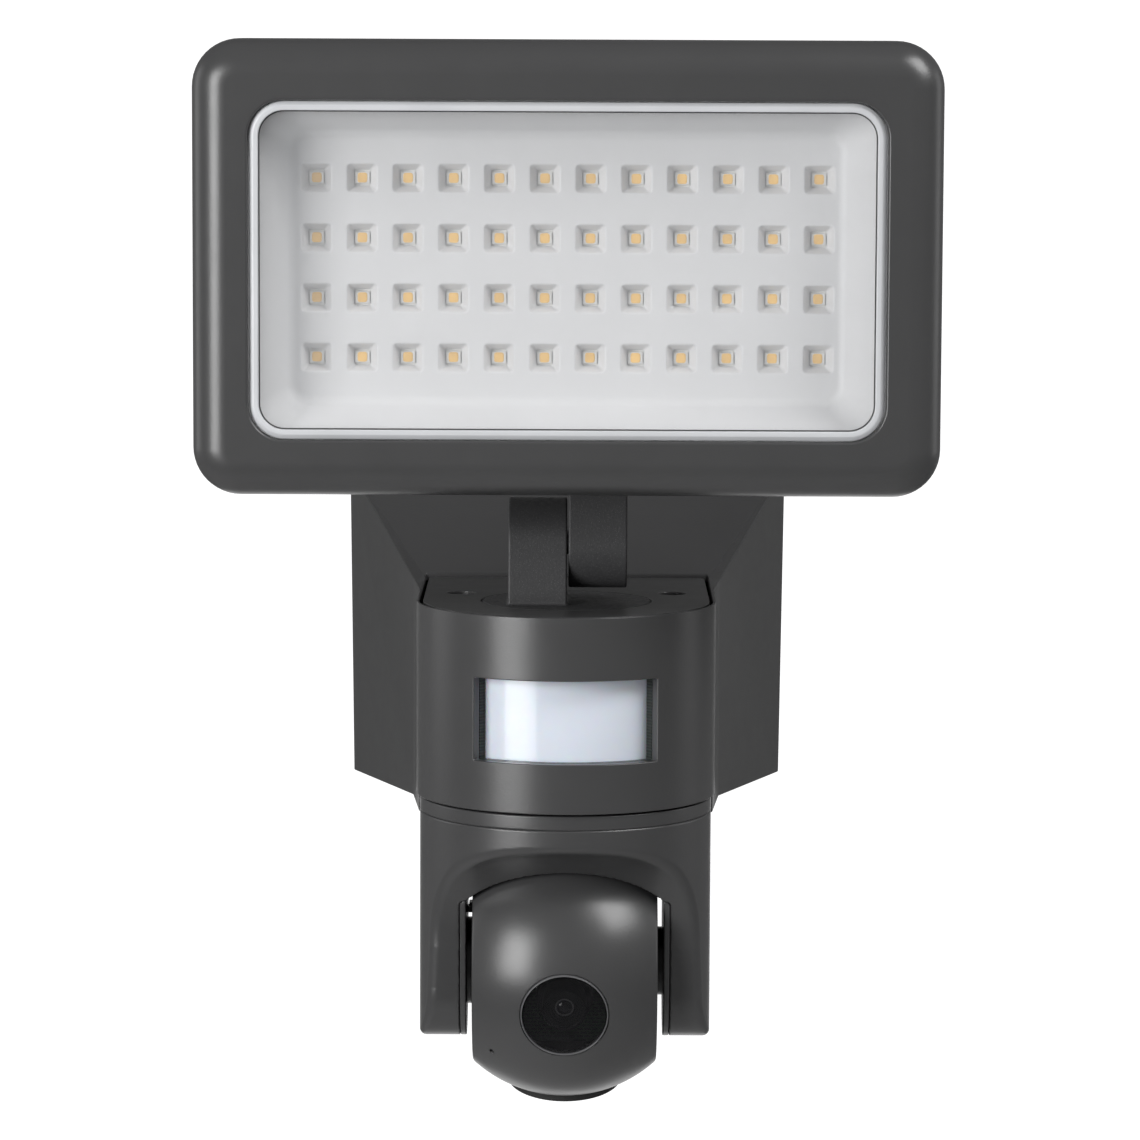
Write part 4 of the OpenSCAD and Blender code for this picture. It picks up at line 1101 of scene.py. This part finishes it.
def arm_covers():
    low, high = box_mm("arm_covers")
    made = []
    for side, bore in ((-1, 6.0), (1, 4.0)):
        def field(x, y, z):
            d = y - AXIS
            plate = both(cover_top(d, z, 0.0), side * x - ARM_INNER - COVER_T + 0.1, 1.3)
            plate = both(plate, yoke_side(d, z), 0.3)
            plate = both(plate, ARM_INNER - side * x, 0.25)
            return np.maximum(plate, bore - np.hypot(d, z - TILT[2]))
        corner = np.array([low[0] if side < 0 else ARM_INNER, low[1], low[2]])
        far = np.array([-ARM_INNER if side < 0 else high[0], high[1], high[2]])
        made.append(skin(field, corner - 1, far + 1, 0.4))
    count = len(made[0][0])
    verts = np.concatenate([m[0] for m in made])
    faces = made[0][1].tolist() + (made[1][1] + count).tolist()
    normals = np.concatenate([m[2] for m in made])
    piece("arm_plates", verts, faces, "arm_covers", normals=normals)


def yoke_cap():
    low, high = box_mm("yoke_cap")
    r = high[0]
    top = SHELL_LOW[2] - 0.5
    profile = [(7, low[2]), (r - 0.4, low[2])] + arc(r - 0.4, low[2] + 0.4, 0.4, -67, 0, 3)
    profile += arc(r - 0.4, top - 0.4, 0.4, 0, 90, 4) + [(10, top), (10, high[2]), (7, high[2])]
    verts, faces = revolve(profile, 128)
    even(piece("yoke_top", moved(verts, (0, AXIS, 0)), faces, "yoke_cap"))


def pivots():
    """The wide black boss between the ball's left side and the arm, with its stop peg in two steps."""
    ball = box_mm("ball_front")[1][0]
    low, high = box_mm("tilt_shaft_left")
    at = (0, AXIS, TILT[2])
    flange, tube, bore = 10.9, 6.0, 4.2
    inner, outer = -ball - 0.1, -ARM_INNER
    profile = [(bore, low[0]), (tube - 0.3, low[0]), (tube, low[0] + 0.3), (tube, outer),
               (flange - 0.2, outer), (flange, outer + 0.2), (flange, inner - 0.4), (flange - 0.4, inner),
               (tube, inner), (tube, high[0]), (bore, high[0])]
    mesh = revolve(profile, 72, "x")
    half, peg_end = 2, outer + 1.45
    base = soft_box((outer, AXIS - half, TILT[2] + 12.4), (peg_end, AXIS + half, TILT[2] + 13.9), 0.2, 2)
    tip = soft_box((outer + 0.5, AXIS - half, TILT[2] + 13.6), (peg_end, AXIS + half, TILT[2] + 15), 0.15, 2)
    even(piece("pivot_left", *join((moved(mesh[0], at), mesh[1]), base, tip), "tilt_shaft_left"))


# ---------- camera ball, worked out in its own frame and then turned ----------

BALL_R, BALL_HALF_W, BALL_SPLIT = 34.0, 23.0, 16
GLASS_R = 10.5
BALL_AT = (0, AXIS, TILT[2])


def ball_piece(name, mesh, node, smooth_angle):
    verts, faces = mesh
    return even(piece(name, moved(verts, BALL_AT, BALL_TURN), faces, node), smooth_angle)


def ball_carved(name, field, low, high, cell, node):
    verts, faces, normals = skin(field, low, high, cell)
    return piece(name, moved(verts, BALL_AT, BALL_TURN), faces.tolist(), node, normals=normals @ BALL_TURN.T)


def ball_shell(x, y, z):
    """Hollow ball with two flat sides, before anything is taken out of it."""
    from_middle = np.sqrt(x ** 2 + y ** 2 + z ** 2)
    across = np.abs(x)
    outside = both(from_middle - BALL_R, across - BALL_HALF_W, 0.45)
    inside = both(from_middle - BALL_R + 2.2, across - BALL_HALF_W + 2.2, 0.5)
    return np.maximum(outside, -inside), outside


def ball_front():
    cos, sin = math.cos(math.radians(27)), math.sin(math.radians(27))

    def field(x, y, z):
        body, outside = ball_shell(x, y, z)
        card_floor = np.maximum(np.hypot(x, y) - 13.4, np.abs(z + 30.55) - 0.95)
        body = np.minimum(body, np.maximum(card_floor, outside))
        body = both(body, y - BALL_SPLIT, 0.25)
        around = np.hypot(x, z)
        body = without(body, np.maximum(around - GLASS_R - 0.45, y + 30.4), 0.3)
        body = np.maximum(body, -np.maximum(around - 9, y + 20))
        # bores for the two pivots, the seat of the card's cap and the small hole beside the glass
        pivot = np.hypot(y, z)
        body = np.maximum(body, -np.maximum(pivot - np.where(x < 0, 6.05, 4.05), 10 - np.abs(x)))
        body = without(body, np.maximum(np.hypot(x, y) - 12.5, z + 31.4), 0.2)
        ahead, aside = y * cos + z * sin, z * cos - y * sin
        return np.maximum(body, -np.maximum(np.hypot(x + 17.9, aside) - 0.62, ahead))

    ball_carved("ball_face", field, (-24, -35, -35), (24, 17, 35), 0.5, "ball_front")


def ball_rear():
    def field(x, y, z):
        body, _ = ball_shell(x, y, z)
        body = both(body, BALL_SPLIT - y, 0.25)
        across = np.abs(x + 9) - 6
        for i in range(-2, 3):
            slot = both(both(across, np.abs(z - 2.6 * i) - 0.65, 0.5), 20 - y, 0.1)
            body = without(body, slot, 0.2)
        post = np.hypot(np.abs(x) - 18.6, np.abs(z) - 14)
        body = np.minimum(body, np.maximum(np.maximum(post - 2.8, plate_field(y, 16.2, 26)),
                                           np.sqrt(x ** 2 + y ** 2 + z ** 2) - BALL_R + 1))
        return without(body, np.maximum(post - 2.2, 21.4 - y), 0.2)

    ball_carved("ball_back", field, (-24, 15, -35), (24, 35, 35), 0.5, "ball_rear")


def wire(radius, y, half_r, half_y):
    """Section of a thin ring about the lens's axis."""
    turns = np.linspace(0, 2 * math.pi, 13)[:-1]
    return [(radius + half_r * math.cos(a), y + half_y * math.sin(a)) for a in turns]


def lens():
    r = GLASS_R
    profile = [(0, 30.4), (r - 0.15, 30.4), (r, 30.55), (r, 31.6)] + arc(r - 0.5, 31.6, 0.5, 15, 75, 4)
    for edge in np.linspace(r - 0.55, 0, 14):
        profile.append((edge, 32.4 - edge ** 2 / 330))
    ball_piece("camera_window", weld(*revolve(profile, 96, "y")), "lens_window", 60)
    rim_profile = [(r, 30.4), (r + 0.4, 30.4), (r + 0.4, 31.9), (r + 0.25, 32.2), (r + 0.25, 32.4)]
    rim_profile += arc(r + 0.125, 32.4, 0.125, 30, 180, 5)
    paint(ball_piece("window_rim", revolve(rim_profile, 96, "y"), "window_ring", 60), "rim_grey")
    # stepped hood inside the barrel, with the small front lens at its foot
    hood_r, hood_y, step_in, step_back, lens_r = 4.7, 29.6, 0.62, 0.5, 2.1
    steps = [(0, 13.6), (7, 13.6), (7, 22.4), (6.8, 22.6), (5.5, 22.6), (5.5, 29.4), (5.3, hood_y),
             (hood_r, hood_y)]
    for i in range(4):
        outer, inner = hood_r - step_in * i, hood_r - step_in * (i + 1)
        steps += [(outer, hood_y - step_back * i - 0.42), (inner, hood_y - step_back * (i + 1))]
    steps += [(lens_r, 27.3), (0, 27.3)]
    ball_piece("barrel", weld(*revolve(steps, 72, "y")), "lens_barrel", 30)
    for name, profile, count, finish in (("lens_collar", wire(2.15, 27.45, 0.3, 0.25), 48, "lens_silver"),
                                         ("hood_rim", wire(5.0, 29.4, 0.2, 0.2), 64, "rim_grey")):
        paint(ball_piece(name, revolve(profile, count, "y"), "lens_barrel", 60), finish)
    eye = [(0, 27.2), (lens_r, 27.2)]
    eye += [(lens_r * math.cos(a), 27.2 + 1.3 * math.sin(a)) for a in np.linspace(0.1, math.pi / 2, 9)]
    paint(ball_piece("front_lens", weld(*revolve(eye, 48, "y")), "lens_barrel", 60), "lens_bead")


def card_cover():
    """Round cap under the ball: a domed face, a rounded edge and a back that lies on the ball."""
    big, small, edge, floor = BALL_R + 1.5, BALL_R + 0.02, 14.5, 32
    shoulder = edge - 0.35
    limit = math.asin(shoulder / big)
    profile = [(big * math.sin(a), -big * math.cos(a)) for a in np.linspace(0, limit, 18)]
    rim_z = -math.sqrt(big ** 2 - shoulder ** 2)
    profile += [(edge - 0.1, rim_z + 0.12), (edge, rim_z + 0.4), (edge, -math.sqrt(small ** 2 - edge ** 2))]
    start, end = math.asin(edge / small), math.acos(floor / small)
    profile += [(small * math.sin(a), -small * math.cos(a)) for a in np.linspace(start, end, 6)[1:]]
    profile.append((0, -floor))
    ball_piece("card_cap", weld(*revolve(profile, 96)), "card_cover", 50)


# ---------- building ----------

for build in (head_bezel, head_housing, trim_ring, cover_glass, reflector, leds, sensor_shell, sensor_window,
              top_plate, wall_box, lower_knuckle, upper_knuckle, yoke, arm_covers, yoke_cap, pivots,
              ball_front, ball_rear, lens, card_cover):
    build()


# ---------- finishes for the CAD nodes that stay in view ----------

bpy.context.scene.view_settings.view_transform = "Standard"
for node_name, node_object in frame["nodes"].items():
    paint(node_object, SLOT_OF[node_name])


# ---------- floor, lights and camera ----------

def area_light(name, azimuth, height, distance, size, power, target):
    """A soft white light that faces the target; azimuth 0 is straight in front, positive to the right."""
    lamp = bpy.data.lights.new(name, "AREA")
    lamp.shape = "RECTANGLE"
    lamp.size, lamp.size_y = size
    lamp.energy = power
    obj = linked(name, lamp)
    a, e = math.radians(azimuth), math.radians(height)
    way = Vector((math.sin(a) * math.cos(e), -math.cos(a) * math.cos(e), math.sin(e)))
    obj.location = target + way * distance
    obj.rotation_euler = way.to_track_quat("Z", "Y").to_euler()


def math_node(tree, operation, *sources):
    node = tree.nodes.new("ShaderNodeMath")
    node.operation = operation
    for socket, source in zip(node.inputs, sources):
        tree.links.new(source, socket)
    return node.outputs[0]


def sweep_finish():
    """Pale floor, a wall as grey as the room round it, and a white glow on the wall behind the lamp."""
    material, tree, shader = new_finish("floor")
    tune(shader, Roughness=0.8, Specular_IOR_Level=0.1, Emission_Color=(1, 1, 1, 1))
    split = tree.nodes.new("ShaderNodeSeparateXYZ")
    tree.links.new(object_place(tree), split.inputs["Vector"])
    shade = tree.nodes.new("ShaderNodeVectorMath")
    shade.operation = "SCALE"
    tree.links.new(ramp(tree, noise(tree, 3), (0.74, 0.74, 0.74), (0.78, 0.78, 0.78)), shade.inputs[0])
    tree.links.new(spread(tree, split.outputs["Y"], 1.0, 0.45, 0.9, 1.9), shade.inputs["Scale"])
    tree.links.new(shade.outputs["Vector"], shader.inputs["Base Color"])
    # the glow fills the part of the wall behind the lamp and fades out round it
    glow = spread(tree, math_node(tree, "ABSOLUTE", split.outputs["X"]), 1.0, 0.0, 0.5, 0.7)
    for axis, start, end, low, high in (("Z", 1.0, 0.0, 0.20, 0.30), ("Y", 0.0, 0.97, 1.0, 1.5)):
        part = spread(tree, split.outputs[axis], start, end, low, high)
        glow = math_node(tree, "MULTIPLY", glow, part)
    tree.links.new(glow, shader.inputs["Emission Strength"])
    return material


def add_sweep(z):
    """A floor that runs on into a wide curve and a wall; it narrows towards the wall."""
    start, bend, wall_top = 1.4, 0.8, 3.6
    line = [(-12.0, z), (-4.0, z), (0.0, z), (start, z)]
    line += [(start + bend * math.sin(a), z + bend * (1 - math.cos(a)))
             for a in np.linspace(0, math.pi / 2, 17)[1:]]
    line.append((start + bend, wall_top))
    cells = 8
    row = cells + 1
    verts, faces = [], []
    for y, height in line:
        half = 9.0 if y < -1 else 4.0 if y < 1 else 1.5
        verts += [(half * (2 * i / cells - 1), y, height) for i in range(row)]
    for r in range(len(line) - 1):
        first = r * row
        faces += [(first + i, first + i + 1, first + row + i + 1, first + row + i) for i in range(cells)]
    mesh = bpy.data.meshes.new("floor")
    mesh.from_pydata(verts, [], faces)
    mesh.polygons.foreach_set("use_smooth", [True] * len(mesh.polygons))
    mesh.materials.append(sweep_finish())
    linked("floor", mesh)


MIDDLE = Vector((0, -0.09, 0.03))
LOWER = Vector((0, -0.12, -0.03))
add_sweep(CAD_BOX[0][2] - 1.3)
area_light("key_left", -43, 10.8, 1.6, (0.72, 0.98), 22, LOWER)
area_light("key_foot", -40.5, -7.2, 1.6, (0.82, 0.10), 0.6, LOWER)
area_light("fill_right", 60, 43, 1.6, (0.85, 0.85), 19, MIDDLE)
area_light("side_left", -109, 9.0, 1.5, (0.6, 0.9), 1.9, MIDDLE)
area_light("side_right", 107, 9.0, 1.5, (0.6, 0.9), 1.5, MIDDLE)

world = bpy.data.worlds.new("studio")
bpy.context.scene.world = world
world.use_nodes = True
tune(world.node_tree.nodes["Background"], Color=(1.0, 1.0, 1.0, 1), Strength=0.16)

camera_data = bpy.data.cameras.new("camera")
camera_data.lens = 152.0
camera_data.sensor_width = 36.0
camera_data.clip_start = 0.05
camera_data.clip_end = 60.0
camera = linked("camera", camera_data)
PITCH, YAW, ROLL = math.radians(6.35), math.radians(0.054), math.radians(0.25)
camera.matrix_world = (Matrix.Translation((0.002, -1.297, 0.1566)) @ Matrix.Rotation(YAW, 4, "Z")
                       @ Matrix.Rotation(math.pi / 2 - PITCH, 4, "X") @ Matrix.Rotation(ROLL, 4, "Z"))
bpy.context.scene.camera = camera
